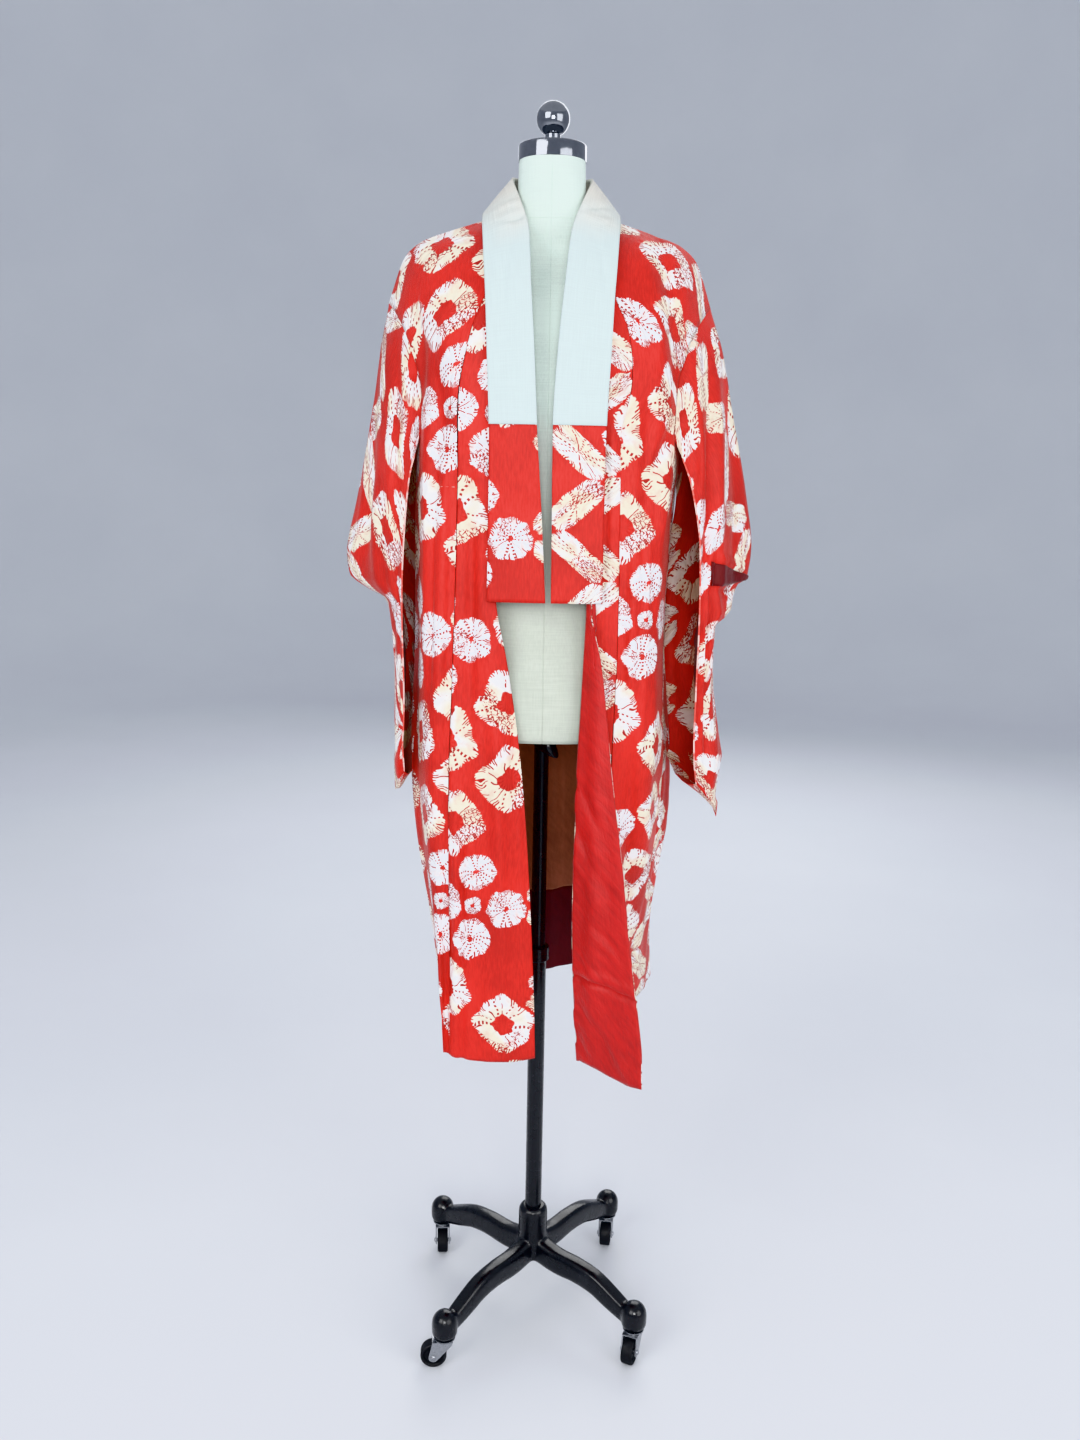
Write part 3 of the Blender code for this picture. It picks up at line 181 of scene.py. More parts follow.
# ---- curves and grids ----
def spline(knots, values, at):
    """Smooth curve through values at the knots, read at other places: cubic pieces with mean slopes."""
    knots, values, at = np.asarray(knots, float), np.asarray(values, float), np.asarray(at, float)
    steps = np.diff(knots)
    wide = (-1,) + (1,) * (values.ndim - 1)
    slopes = np.diff(values, axis=0) / steps.reshape(wide)
    before, after = steps[:-1].reshape(wide), steps[1:].reshape(wide)
    inner = (slopes[:-1] * after + slopes[1:] * before) / (before + after)
    tangents = np.concatenate([slopes[:1], inner, slopes[-1:]])
    piece = np.clip(np.searchsorted(knots, at, side="right") - 1, 0, len(steps) - 1)
    span = steps[piece]
    t = ((at - knots[piece]) / span).reshape(wide)
    span = span.reshape(wide)
    return ((2 * t**3 - 3 * t**2 + 1) * values[piece] + (t**3 - 2 * t**2 + t) * span * tangents[piece]
            + (3 * t**2 - 2 * t**3) * values[piece + 1] + (t**3 - t**2) * span * tangents[piece + 1])


def table(columns, rows):
    """A table in millimetres as arrays by column name, in metres."""
    return {name: np.array(column) / MM for name, column in zip(columns, zip(*rows))}


def xyz(x, y, z):
    """Points from coordinates that broadcast together."""
    return np.stack(np.broadcast_arrays(x, y, z), axis=-1).astype(float)


def grid_normals(grid):
    """Unit normals of a grid of points, on the outer side of its faces."""
    normals = np.cross(np.gradient(grid, axis=1), np.gradient(grid, axis=0))
    return normals / np.maximum(np.linalg.norm(normals, axis=-1, keepdims=True), 1e-9)


def grid_faces(rows, columns, first=0):
    """Quads of a grid of rows x columns points, numbered from first."""
    index = first + np.arange(rows * columns).reshape(rows, columns)
    return np.stack([index[:-1, :-1], index[:-1, 1:], index[1:, 1:], index[1:, :-1]], axis=-1).reshape(-1, 4)


def ring_faces(rows, sides, first=0):
    """Quads round a stack of closed rings, numbered from first."""
    index = first + np.arange(rows * sides).reshape(rows, sides)
    after = np.roll(index, -1, axis=1)
    return np.stack([index[:-1], after[:-1], after[1:], index[1:]], axis=-1).reshape(-1, 4).tolist()


def turned_rings(profile, sides):
    """A profile of (radius, height) in metres turned about the upright axis, as rings."""
    angles = np.linspace(0, 2 * pi, sides, endpoint=False)
    return xyz(profile[:, :1] * np.cos(angles), profile[:, :1] * np.sin(angles), profile[:, 1:])


def superellipse(angles, power):
    """Two half axes' shares at each angle round a superellipse."""
    across, up = np.cos(angles), np.sin(angles)
    round_off = (np.abs(across) ** power + np.abs(up) ** power) ** (-1 / power)
    return across * round_off, up * round_off


def smooth_step(t):
    """0 before 0, 1 after 1 and level at both ends."""
    t = np.clip(t, 0, 1)
    return t * t * (3 - 2 * t)


def loft(rows, count):
    """Rows of points made into count + 1 rows along a smooth curve through them."""
    return spline(np.linspace(0, 1, len(rows)), rows, np.linspace(0, 1, count + 1))


def finer(grid, up, across):
    """The grid with up times as many rows and across times as many columns, on curves through its points."""
    rows = loft(grid, up * (len(grid) - 1)) if up > 1 else grid
    if across == 1:
        return rows
    return np.swapaxes(loft(np.swapaxes(rows, 0, 1), across * (rows.shape[1] - 1)), 0, 1)


def turned_out(grid, mirrored, upside_down=False):
    """The grid with its outer side out: columns run to the right and rows up, as seen from outside. Done
    twice, it gives the grid back."""
    grid = grid[::-1] if upside_down else grid
    return grid[:, ::-1] if mirrored else grid


def outward(grid, mirrored, upside_down=False):
    """Normals on the side that turned_out turns out."""
    return turned_out(grid_normals(turned_out(grid, mirrored, upside_down)), mirrored, upside_down)


# ---- the body panels ----
LEVEL_ROWS, YOKE_ROWS = 12, 6
FRONT_COLUMNS, SIDE_COLUMNS, NAPE_COLUMNS, CENTRE_COLUMNS = 7, 6, 7, 3


def body_places():
    """Places round a panel: front, side, back to the nape's column, and on to the centre back."""
    seam, corner, _, rear, nape, centre = LEVEL_KNOTS
    blocks = ((seam, corner, FRONT_COLUMNS), (corner, rear, SIDE_COLUMNS), (rear, nape, NAPE_COLUMNS),
              (nape, centre, CENTRE_COLUMNS))
    places = [np.linspace(start, end, count + 1)[:-1] for start, end, count in blocks]
    return np.concatenate(places + [[centre]])


def level_points(side, places, heights):
    """Grid of points from the hem to the armpit: heights x places, with the folds pressed in."""
    rows = table(LEVEL_COLUMNS, LEVELS[side])
    zero = np.zeros_like(rows["z"])
    knots = [(rows[f"{knot}_x"], rows[f"{knot}_y"]) for knot in ("seam", "corner", "side", "rear")]
    knots += [(zero + NAPE_X, rows["back_y"] - NAPE_RISE), (zero, rows["back_y"])]
    section = spline(LEVEL_KNOTS, np.swapaxes(knots, 1, 2), places)
    grid = spline(rows["z"], np.swapaxes(section, 0, 1), heights)
    points = xyz(SIDES[side] * grid[..., 0], grid[..., 1], heights[:, None])
    points += fold_offsets(side, points, places, heights)
    rise = np.interp(places, LEVEL_KNOTS, HEM_RISE[side]) / MM
    points[..., 2] += rise * (1 - smooth_step((heights - heights[0]) / HEM_EASE))[:, None]
    return points


def fold_offsets(side, points, places, heights):
    """Soft vertical folds: each a bell across the panel that grows from its top to the hem."""
    outward = points * (1, 1, 0)
    outward /= np.linalg.norm(outward, axis=-1, keepdims=True)
    total = np.zeros(points.shape[:2])
    for place, depth, width, top in np.array(FOLDS[side]) / MM:
        down = smooth_step((top - heights) / (top - heights[0]))
        total += depth * down[:, None] * np.exp(-(((places - place) / width) ** 2))
    return outward * total[..., None]


def shoulder_line(start, end, steps):
    """From the neck to the arm: x runs evenly, y bends late, and z slopes and then drops at the end."""
    drop = SHOULDER_SLOPE * steps + (1 - SHOULDER_SLOPE) * steps**SHOULDER_DROP_POWER
    x, y, z = (low + (high - low) * share
               for low, high, share in zip(start, end, (steps, steps**SHOULDER_BEND_POWER, drop)))
    return xyz(x, y, z)


def yoke_rows(side, armpit_row):
    """Front and back sheets above the armpit, a row for each YOKE row, starting with the armpit's own row."""
    mirror = (SIDES[side], 1, 1)
    front_steps, back_steps = np.linspace(0, 1, FRONT_COLUMNS + 1), np.linspace(1, 0, NAPE_COLUMNS + 1)
    to_centre = np.linspace(0, 1, CENTRE_COLUMNS + 1)[1:]
    round_neck = np.sin(pi / 2 * np.minimum(NECK_LEVELS_AT * to_centre, 1))
    front, back = [armpit_row[:FRONT_COLUMNS + 1]], [armpit_row[FRONT_COLUMNS + SIDE_COLUMNS:]]
    for row in YOKE:
        r = {name: value / MM for name, value in zip(YOKE_COLUMNS, row)}
        front.append(mirror * shoulder_line((r["front_x"], r["front_y"], r["front_z"]),
                                            (r["arm_x"], r["arm_front_y"], r["arm_z"]), front_steps))
        nape = (NAPE_X if row is not YOKE[-1] else r["front_x"], r["nape_y"], r["nape_z"])
        rear = shoulder_line(nape, (r["arm_x"], r["arm_back_y"], r["arm_z"]), back_steps)
        rise_y, rise_z = r["centre_y"] - nape[1], r["centre_z"] - nape[2]
        neck = xyz(nape[0] * (1 - to_centre), nape[1] + rise_y * round_neck, nape[2] + rise_z * round_neck)
        back.append(mirror * np.concatenate([rear, neck]))
    return np.array(front), np.array(back)


def body_grids(side):
    """The panel's three grids: hem to armpit, front to shoulder, back to shoulder and neck."""
    rows = LEVELS[side]
    heights = np.linspace(rows[0][0] / MM, rows[-1][0] / MM, LEVEL_ROWS + 1)
    lower = level_points(side, body_places(), heights)
    lower[:, -1, 0] = SIDES[side] * SEAM_GAP / 2
    front, back = (loft(sheet, YOKE_ROWS) for sheet in yoke_rows(side, lower[-1]))
    back[-1, :NAPE_COLUMNS + 1] = front[-1, ::-1]
    back[:, -1, 0] = SIDES[side] * SEAM_GAP / 2
    return lower, front, back


# ---- the overlaps and the facing ----
OVERLAP_COLUMNS, OVERLAP_CROWN = 4, 0.0025
OVERLAP_YOKE_ROWS = 3
# Places across the folded-out left overlap: of its seven lines from the seam, and of its columns.
FLAP_KNOTS = (0, 0.22, 0.42, 0.50, 0.58, 0.79, 1)
FLAP_PLACES = (0, 0.11, 0.22, 0.32, 0.42, 0.46, 0.50, 0.54, 0.58, 0.68, 0.79, 0.90, 1)
FACING_COLUMNS = 7
FACING_GAP = 0.0006


def seam_column(grids, side):
    """The body's front seam, hem to yoke, moved in to clear the body's wall, which is mitred."""
    sign = SIDES[side]
    lower, front, _ = grids[side]
    seam, lean = [], []
    for grid, rows in ((lower, slice(None)), (front, slice(1, OVERLAP_YOKE_ROWS + 1))):
        seam.append(grid[rows, 0])
        lean.append(outward(grid, side == "right")[rows, 0, 0] * sign)
    seam = np.concatenate(seam)
    seam[:, 0] -= sign * (SEAM_GAP + CLOTH * np.maximum(np.concatenate(lean), 0))
    return seam


def right_overlap(grids):
    """From the free edge to the seam, a row for each of the body's rows."""
    seam = seam_column(grids, "right")
    edge = table(RIGHT_EDGE_COLUMNS, RIGHT_EDGE)
    heights = seam[:, 2]
    free = xyz(spline(edge["z"], edge["x"], heights), spline(edge["z"], edge["y"], heights), heights)
    across = np.linspace(0, 1, OVERLAP_COLUMNS + 1)[:, None]
    grid = free[:, None] + (seam - free)[:, None] * across
    grid[..., 1] -= OVERLAP_CROWN * np.sin(pi * across[:, 0])
    return grid


def left_overlap(grids):
    """From the seam to the fold and round it to the free edge, which stands out in front."""
    seam = seam_column(grids, "left")
    heights = seam[:, 2]
    rows = table(LEFT_EDGE_COLUMNS, LEFT_EDGE)
    rows["folded"] = np.where(rows["z"] < FOLDED_BELOW, 1.0, 0.0)
    edge = {name: spline(rows["z"], column, heights) for name, column in rows.items()}
    folded = np.clip(edge["folded"], 0, 1)[:, None]
    fold = xyz(edge["fold_x"], edge["fold_y"], heights)
    free = xyz(edge["edge_x"], edge["edge_y"], edge["edge_z"])
    flat = (free - fold) / 3
    reach = np.minimum(FOLD_REACH, FOLD_REACH_SHARE * (seam[:, 0] - fold[:, 0]))
    inside = fold + xyz(reach, FOLD_EASE, 0)
    bend = fold + flat * (1 - folded)
    front = (fold + xyz(reach, 0, 0)) * folded + (fold + 2 * flat) * (1 - folded)
    front[:, 1] -= FOLD_HALF_GAP * folded[:, 0] ** 2
    stations = np.stack([seam, (seam + inside) / 2, inside, bend, front, (front + free) / 2, free])
    return np.swapaxes(spline(FLAP_KNOTS, stations, FLAP_PLACES), 0, 1)


# ---- the linings of the back ----
LINING_TOP_ROW, BAND_TOP_ROW = 8, 2
LINING_FIRST_COLUMN = 10
LINING_GAP = 0.0012         # the lining hangs a little free of the silk

# ---- the collar ----
COLLAR_ROWS_PER_STATION = 2
COLLAR_CROWN = 0.0015
COLLAR_ACROSS = 3
COLLAR_OPENS = 1.30         # below this the inner edges are both on the left of the middle


def collar_grid():
    """From the right front end round the neck to the left end: outer edge to inner edge across."""
    stations = table(COLLAR_COLUMNS, COLLAR)
    outer = xyz(stations["outer_x"], stations["outer_y"], stations["outer_z"])
    halves = {}
    for side, sign in SIDES.items():
        inner_x = stations[f"{side}_in"] * np.where(stations["inner_z"] < COLLAR_OPENS, 1, sign)
        inner = xyz(inner_x, stations["inner_y"], stations["inner_z"])
        halves[side] = np.stack([outer * (sign, 1, 1), inner], axis=1)
    whole = np.concatenate([halves["right"], halves["left"][-2::-1]])
    rows = loft(whole, COLLAR_ROWS_PER_STATION * (len(whole) - 1))
    across = np.linspace(0, 1, COLLAR_ACROSS + 1)
    grid = rows[:, :1] + (rows[:, 1:] - rows[:, :1]) * across[None, :, None]
    return grid + COLLAR_CROWN * np.sin(pi * across)[None, :, None] * grid_normals(grid)


# ---- the sleeves ----
SLEEVE_ROWS = 15
MOUTH_ROWS = range(7, 12)
CUFF_FACING_COLUMNS = 3
ARMHOLE_HALF, ARMHOLE_LIFT = 0.09, 0.15         # the sleeve's edge leans out from the armhole's middle
CUFF_FACING_TOP = {"right": 8, "left": 7}       # first row where the two layers stand far enough apart


def sleeve_layers(grids, side):
    """Front and back layers from the armhole down, which share their outer edge except along the mouth."""
    sign = SIDES[side]
    _, front, back = grids[side]
    lines = table(SLEEVE_COLUMNS, SLEEVES[side])

    def line(name, forward=0):
        return xyz(sign * lines[f"{name}_x"], lines[f"{name}_y"] - forward, lines[f"{name}_z"])

    mouth = MOUTH_HALF * np.isin(np.arange(len(SLEEVES[side])), MOUTH_STATIONS)
    places = np.linspace(0, 1, YOKE_ROWS + 1)
    layers = []
    for edge, stations in ((front[:, FRONT_COLUMNS], (line("furi"), line("mid"), line("outer", mouth))),
                           (back[:, 0], (line("rear"), line("back"), line("outer", -mouth)))):
        rows = np.swapaxes(spline((0, 0.5, 1), np.stack(stations), places), 0, 1)
        away = xyz(sign, edge[:, 1] / ARMHOLE_HALF, ARMHOLE_LIFT)       # off the body, to clear its wall
        armhole = edge + away / np.linalg.norm(away, axis=-1, keepdims=True) * 2 * LAP
        layers.append(loft(np.concatenate([armhole[None], rows]), SLEEVE_ROWS))
    shared = [row for row in range(SLEEVE_ROWS + 1) if row not in MOUTH_ROWS]
    layers[0][shared, -1] = layers[1][shared, -1] = (layers[0][shared, -1] + layers[1][shared, -1]) / 2
    return layers


# ---- creases ----
# A crease is a line on one side of the garment, seen along X or Y: its ends across and up, how far its middle
# bows sideways, its half width and its height, in millimetres. A negative height is a trough.
VIEWS = {"front": (0, 1, -1), "back": (0, 1, 1), "right": (1, 0, -1), "left": (1, 0, 1)}
BODY_CREASES = {
    "front": (
        (-107, 840, -104, 470, 2, 4.5, -5.8), (-114, 860, -112, 470, 1, 6, 3.6),
        (-124, 812, -127, 480, 2, 6, -5.1), (-97, 1290, -100, 854, 4, 9, -5.1),
        (-120, 1360, -135, 908, -5, 10, 5.8), (-137, 1330, -150, 980, -4, 9, -5.8),
        (-157, 1346, -166, 962, 3, 10, 4.3), (-175, 1490, -170, 1290, 8, 9, -6.5),
        (-158, 1440, -120, 1260, 6, 11, -4.3), (-150, 1500, -105, 1340, 4, 13, 3.6),
        (-70, 1100, -48, 508, 3, 11, 5.1), (-45, 1080, -22, 640, 2, 8, -4.3),
        (-85, 760, -80, 470, 2, 8, -3.6), (-155, 800, -140, 480, 4, 10, 5.1),
        (87, 1490, 96, 1180, 2, 7, -4.3), (72, 1330, 76, 1130, 2, 6, -2.9),
        (126, 1345, 128, 960, -4, 10, -5.8), (112, 1360, 114, 900, 4, 10, 5.1),
        (152, 1300, 148, 860, 4, 10, 5.8), (140, 1240, 140, 900, 4, 7, -4.3),
        (112, 1010, 128, 560, 3, 10, -5.8), (95, 900, 104, 500, 2, 10, 5.1),
        (140, 880, 152, 480, 4, 11, 5.8), (142, 1560, 165, 1380, 5, 10, -6.5),
        (120, 1545, 138, 1400, 4, 11, 4.3), (168, 1350, 128, 1240, -4, 9, -5.1),
        (172, 1310, 140, 1170, -3, 8, 3.6),
    ),
    "back": (
        (-30, 1480, -50, 500, 6, 12, -5.8), (-75, 1380, -90, 560, -6, 11, 5.8),
        (-110, 1360, -104, 480, 5, 12, -6.5), (-150, 1400, -80, 1230, 8, 11, -5.1),
        (-140, 1330, -95, 1170, 6, 10, 4.3), (-10, 980, -16, 470, 3, 9, 5.1),
        (28, 1430, 40, 620, -5, 11, 5.8), (62, 1300, 75, 480, 6, 12, -6.5),
        (105, 1390, 118, 700, -4, 10, 5.1), (152, 1380, 85, 1250, -7, 11, -5.1),
        (140, 1300, 100, 1120, -5, 9, 4.3), (22, 860, 20, 470, 3, 8, -4.3),
    ),
    "right": (
        (-50, 1240, -45, 560, 6, 11, 5.8), (10, 1260, 20, 500, -5, 12, -6.5),
        (70, 1220, 85, 620, 5, 10, 5.1),
    ),
    "left": (
        (-40, 1230, -20, 600, 5, 11, -6.5), (20, 1260, 40, 480, -6, 12, 5.8),
        (80, 1200, 95, 640, 5, 10, -5.1),
    ),
}
SLEEVE_CREASES = {
    "front": (
        (-200, 1440, -196, 1000, 5, 8, -5.1), (-214, 1420, -222, 1120, -6, 9, 5.8),
        (-230, 1380, -245, 1150, 4, 8, -5.1), (-190, 1300, -193, 900, 3, 5, 3.6),
        (-240, 1300, -262, 1160, 4, 7, 4.3), (-216, 1160, -212, 960, 3, 7, -4.3),
        (206, 1440, 212, 1000, 5, 8, -5.8), (222, 1430, 236, 1080, -4, 8, 5.8),
        (242, 1380, 258, 1140, 5, 8, -5.1), (222, 1120, 224, 880, 3, 6, -5.1),
        (236, 1100, 242, 860, 3, 6, 4.3), (196, 1360, 200, 1180, 3, 6, 3.6), (226, 1170, 278, 1146, 2, 5, 5),
        (228, 1124, 262, 1118, 2, 5, -4), (217.5, 1210, 218.5, 850, 0, 4, 4.8),
        (227.5, 1200, 226, 1040, 0, 5, -6.2),
    ),
    "back": (
        (-200, 1430, -200, 980, -5, 9, 5.8), (-218, 1400, -230, 1120, 6, 9, -5.8),
        (-234, 1340, -250, 1150, 4, 8, 4.3), (204, 1430, 206, 940, -5, 9, -5.8),
        (224, 1400, 232, 1060, 5, 8, 5.8), (244, 1360, 262, 1160, 4, 8, -4.3),
    ),
}
FACING_CREASES = {
    "back": (
        (46, 600, 138, 566, 5, 3.5, 5), (46, 612, 136, 579, 5, 5, -2.6), (50, 872, 84, 800, 3, 6, 2.6),
        (46, 820, 96, 724, -3, 6, 3), (48, 764, 90, 690, 3, 5, -2.2), (47, 716, 108, 640, -3, 6, 2.6),
        (60, 690, 118, 610, 2, 5, -2.2), (56, 560, 106, 474, 3, 6, 3), (86, 552, 136, 450, -3, 6, -2.6),
        (52, 516, 78, 470, 2, 5, 2.2),
    ),
}
COLLAR_CREASES = {
    "front": (
        (46, 1604, 78, 1609, 2, 4, -3), (44, 1594, 76, 1590, -3, 4, 2), (58, 1560, 70, 1480, 3, 5, -1.6),
        (-30, 1596, -64, 1586, 3, 4, -3.2), (-36, 1612, -70, 1602, -2, 4, 2.2),
        (-50, 1560, -58, 1470, -3, 6, -1.6),
    ),
}
BESIDE = 0.35               # share of its height that a crease pushes the other way on each flank
FLANKS = 2.2                # the flanks' half width over the crease's own
END_PHASE, END_POWER = 0.06, 0.7                # how far in its bell a crease starts, and the bell's fullness
UNEVEN, UNEVEN_RUN, UNEVEN_SHIFT = 0.3, 7, 1.7  # how much and how fast its height comes and goes
FACES_FROM, FACES_OVER = 0.15, 0.4              # the normal's share towards the view where a crease fades in


def pressed(points, crease_tables, mirrored=False, upside_down=False):
    """The grid moved along its normals. Each crease is a bell across its line, with a shallow opposite swell
    on both flanks, times an uneven bell along it, where the cloth faces that way."""
    normals = outward(points, mirrored, upside_down)
    total = np.zeros(points.shape[:2])
    creases = [(view, row) for creases in crease_tables for view, rows in creases.items() for row in rows]
    for number, (view, row) in enumerate(creases):
        seen, facing, sign = VIEWS[view]
        across0, z0, across1, z1, bow, width, height = np.array(row) / MM
        start, run = np.array((across0, z0 - POLE_SETTING)), np.array((across1 - across0, z1 - z0))
        length = np.linalg.norm(run)
        from_start = points[..., (seen, 2)] - start
        t = from_start @ run / length**2
        held = np.clip(t, 0, 1)
        off = from_start @ np.array((-run[1], run[0])) / length - bow * 4 * held * (1 - held)
        beyond = (t - held) * length
        bell = (1 + BESIDE) * np.exp(-(off / width) ** 2) - BESIDE * np.exp(-(off / (FLANKS * width)) ** 2)
        fade = np.sin(pi * (END_PHASE + (1 - 2 * END_PHASE) * held)) ** END_POWER
        fade *= np.exp(-(beyond / (2 * width)) ** 2)
        uneven = 1 + UNEVEN * np.sin(UNEVEN_RUN * held + UNEVEN_SHIFT * number)
        looks = smooth_step((sign * normals[..., facing] - FACES_FROM) / FACES_OVER)
        total += height * bell * fade * uneven * looks
    return points + normals * total[..., None]


# ---- the dyed repeat ----
REPEAT = (0.32, 0.65)       # in metres: across the cloth and up it
ROUND, BEAD, SQUARE, BAR = 0, 1, 2, 3
GROUPS = ((-20, 0), (-89, 362))                 # beads, in millimetres, each with four rounds about it
RING = 48                   # how far the rounds stand from the bead
ROUND_SIZE, BEAD_SIZE = 28, 12.5                # their radii
SIZE_SPREAD = 0.05          # share that the rounds' radii differ by
GROUP_TURN, ROUND_TURN = 0.12, 20               # radians between the groups, and degrees from round to round
# Kind, turn in degrees, and the place and half sizes in millimetres.
MOTIFS = (
    (BAR, -50, 92, 33, 15, 40), (BAR, 50, 94, 98, 17, 41), (BAR, -50, 96, 163, 18, 42),
    (BAR, 50, 92, 228, 15, 43), (BAR, -50, 94, 292, 17, 40), (BAR, 50, 96, 358, 18, 41),
    (BAR, -50, 92, 422, 15, 42), (BAR, 50, 94, 488, 17, 43), (BAR, -50, 96, 552, 18, 40),
    (BAR, 50, 92, 617, 15, 41), (SQUARE, 38, -57, 117, 36, 38), (SQUARE, 50, 19, 178, 39, 39),
    (SQUARE, 18, -72, 230, 38, 40), (SQUARE, 58, 13, 281, 37, 41), (SQUARE, 44, 19, 476, 36, 38),
    (SQUARE, 28, -68, 526, 39, 39), (SQUARE, 52, -143, 135, 38, 40), (SQUARE, 30, -164, 262, 37, 41),
    (SQUARE, 45, -137, 473, 36, 38), (SQUARE, 47, -142, 34, 39, 39), (SQUARE, 22, -133, 597, 38, 40),
    (SQUARE, 33, 29, 380, 33, 36),
)
MOTIF_STEP = 4.0            # the motif map moves over by this for each kind, and up by it for each number
MOTIF_REACH = 1.9           # further from a motif than this the cloth is plain
COPIES, COPY_STEPS = 7, (3, 5)                  # the copies of a motif differ, over this many


def repeat_motifs():
    """All motifs of one repeat, the groups' rounds and beads among them."""
    rows = list(MOTIFS)
    for group, (u, v) in enumerate(GROUPS):
        rows.append((BEAD, 0, u, v, BEAD_SIZE, BEAD_SIZE))
        for quarter in range(4):
            angle = pi / 2 * quarter + GROUP_TURN * (group - 0.5)
            size = ROUND_SIZE * (1 + SIZE_SPREAD * sin(5 * quarter + group))
            place = (u + RING * cos(angle), v + RING * sin(angle))
            rows.append((ROUND, ROUND_TURN * quarter, *place, size, size))
    return rows


def motif_places(cloth_uv, corners):
    """The motif map for each corner of each face: the place in the motif nearest to the face's middle."""
    motifs = repeat_motifs()
    middle = cloth_uv[corners].mean(axis=1)
    best = np.full(len(corners), np.inf)
    place = np.full((len(corners), corners.shape[1], 2), MOTIF_REACH)
    for number, (kind, turn, *lengths) in enumerate(motifs):
        u, v, *size = np.array(lengths) / MM
        repeats = np.round((middle - (u, v)) / REPEAT)
        shift = (u, v) + repeats * REPEAT
        turn = radians(turn)
        to_motif = np.array(((cos(turn), -sin(turn)), (sin(turn), cos(turn))))
        away = np.linalg.norm((middle - shift) @ to_motif / size, axis=1)
        own = (cloth_uv[corners] - shift[:, None]) @ to_motif / size
        near = (away < best) & (np.abs(own).max(axis=(1, 2)) < MOTIF_REACH)
        best = np.where(near, away, best)
        copy = number + len(motifs) * ((repeats @ COPY_STEPS) % COPIES)
        step = MOTIF_STEP * pair(kind, copy)
        place[near] = (own + step[:, None])[near]
    return place


# ---- pieces and sheets ----
WALL = 0.0010               # cloth shows a little thinner than its solids' wall
THIN_WALL = 0.0008          # linings and facings


def pair(u, v):
    """Two coordinates that broadcast together, as a map."""
    return np.stack(np.broadcast_arrays(u, v), axis=-1)


def run_across(grid):
    """Arc length along each row of a grid."""
    return np.pad(np.cumsum(np.linalg.norm(np.diff(grid, axis=1), axis=-1), axis=1), ((0, 0), (1, 0)))


def run_up(grid):
    """Arc length up a grid, the mean over its columns, as one column."""
    steps = np.linalg.norm(np.diff(grid, axis=0), axis=-1).mean(axis=1, keepdims=True)
    return np.pad(np.cumsum(steps, axis=0), ((1, 0), (0, 0)))


def cloth_map(grid, start=(0, 0), from_right=False, downwards=False):
    """The cut's own coordinates over a grid: arc lengths across, from either edge, and up or down."""
    across, up = run_across(grid), run_up(grid)
    if from_right:
        across = across - across[:, -1:]
    return pair(across, -up if downwards else up) + start


def new_object(name, points, faces, finishes):
    """A smooth object in the scene, with its finishes."""
    mesh = bpy.data.meshes.new(name)
    mesh.from_pydata(points, [], faces)
    for finish in finishes:
        mesh.materials.append(finish)
    mesh.shade_smooth()
    return linked(name, mesh)


def linked(name, data):
    """An object with this data, put in the scene."""
    obj = bpy.data.objects.new(name, data)
    bpy.context.scene.collection.objects.link(obj)
    return obj


def carried(obj, body, replaced=()):
    """Puts a piece on its body, in place of its solids."""
    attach(obj, body)
    if replaced:
        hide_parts(*replaced)


def sheet_object(name, patches, wall, finishes, node, dyed=False):
    """A cloth piece from (grid, cloth map) patches, welded where they meet, with a wall behind its outer
    side. finishes are its outer and inner materials."""
    points, maps, corners, count = [], [], [], 0
    for grid, place in patches:
        points.append(grid.reshape(-1, 3))
        maps.append(place.reshape(-1, 2))
        corners.append(grid_faces(*grid.shape[:2], first=count))
        count += len(points[-1])
    points, maps, corners = (np.concatenate(part) for part in (points, maps, corners))
    points = points + (0, 0, POLE_SETTING)
    _, first, welded = np.unique(np.round(points, 6), axis=0, return_index=True, return_inverse=True)
    faces = welded.reshape(-1)[corners]
    own = faces != np.roll(faces, 1, axis=1)              # a face whose corners meet loses the double
    own &= own.sum(axis=1, keepdims=True) > 2
    faces = [face[kept].tolist() for face, kept in zip(faces, own) if kept.any()]
    obj = new_object(name, points[first], faces, finishes)
    obj.data.uv_layers.new(name="cloth").data.foreach_set("uv", maps[corners][own].ravel())
    if dyed:
        obj.data.uv_layers.new(name="motif").data.foreach_set("uv", motif_places(maps, corners)[own].ravel())
    solidify = obj.modifiers.new("Wall", "SOLIDIFY")
    solidify.thickness = wall
    solidify.offset = -1
    solidify.material_offset = len(finishes) - 1
    carried(obj, "upper", [node])


def silk_sheet(name, patches, node, wall=WALL):
    """A piece of the dyed silk."""
    sheet_object(name, patches, wall, (SILK, SILK_BACK), node, dyed=True)


def plain_sheet(name, grids, finish, node, wall=THIN_WALL):
    """A piece of undyed cloth, each grid mapped by its own arc lengths."""
    sheet_object(name, [(grid, cloth_map(grid)) for grid in grids], wall, (finish,), node)


# ---- finishes ----
def node_math(operation, swapped=False):
    """A method that puts a math node between two values."""
    return lambda self, other: self.finish.math(operation, *((other, self) if swapped else (self, other)))


class Value:
    """An output of a material's nodes. Arithmetic on it adds math nodes to that material."""
    __add__ = __radd__ = node_math("ADD")
    __mul__ = __rmul__ = node_math("MULTIPLY")
    __sub__, __rsub__ = node_math("SUBTRACT"), node_math("SUBTRACT", swapped=True)
    __truediv__, __pow__ = node_math("DIVIDE"), node_math("POWER")

    def __init__(self, finish, socket):
        self.finish, self.socket = finish, socket

    def __abs__(self):
        return self.finish.math("ABSOLUTE", self)


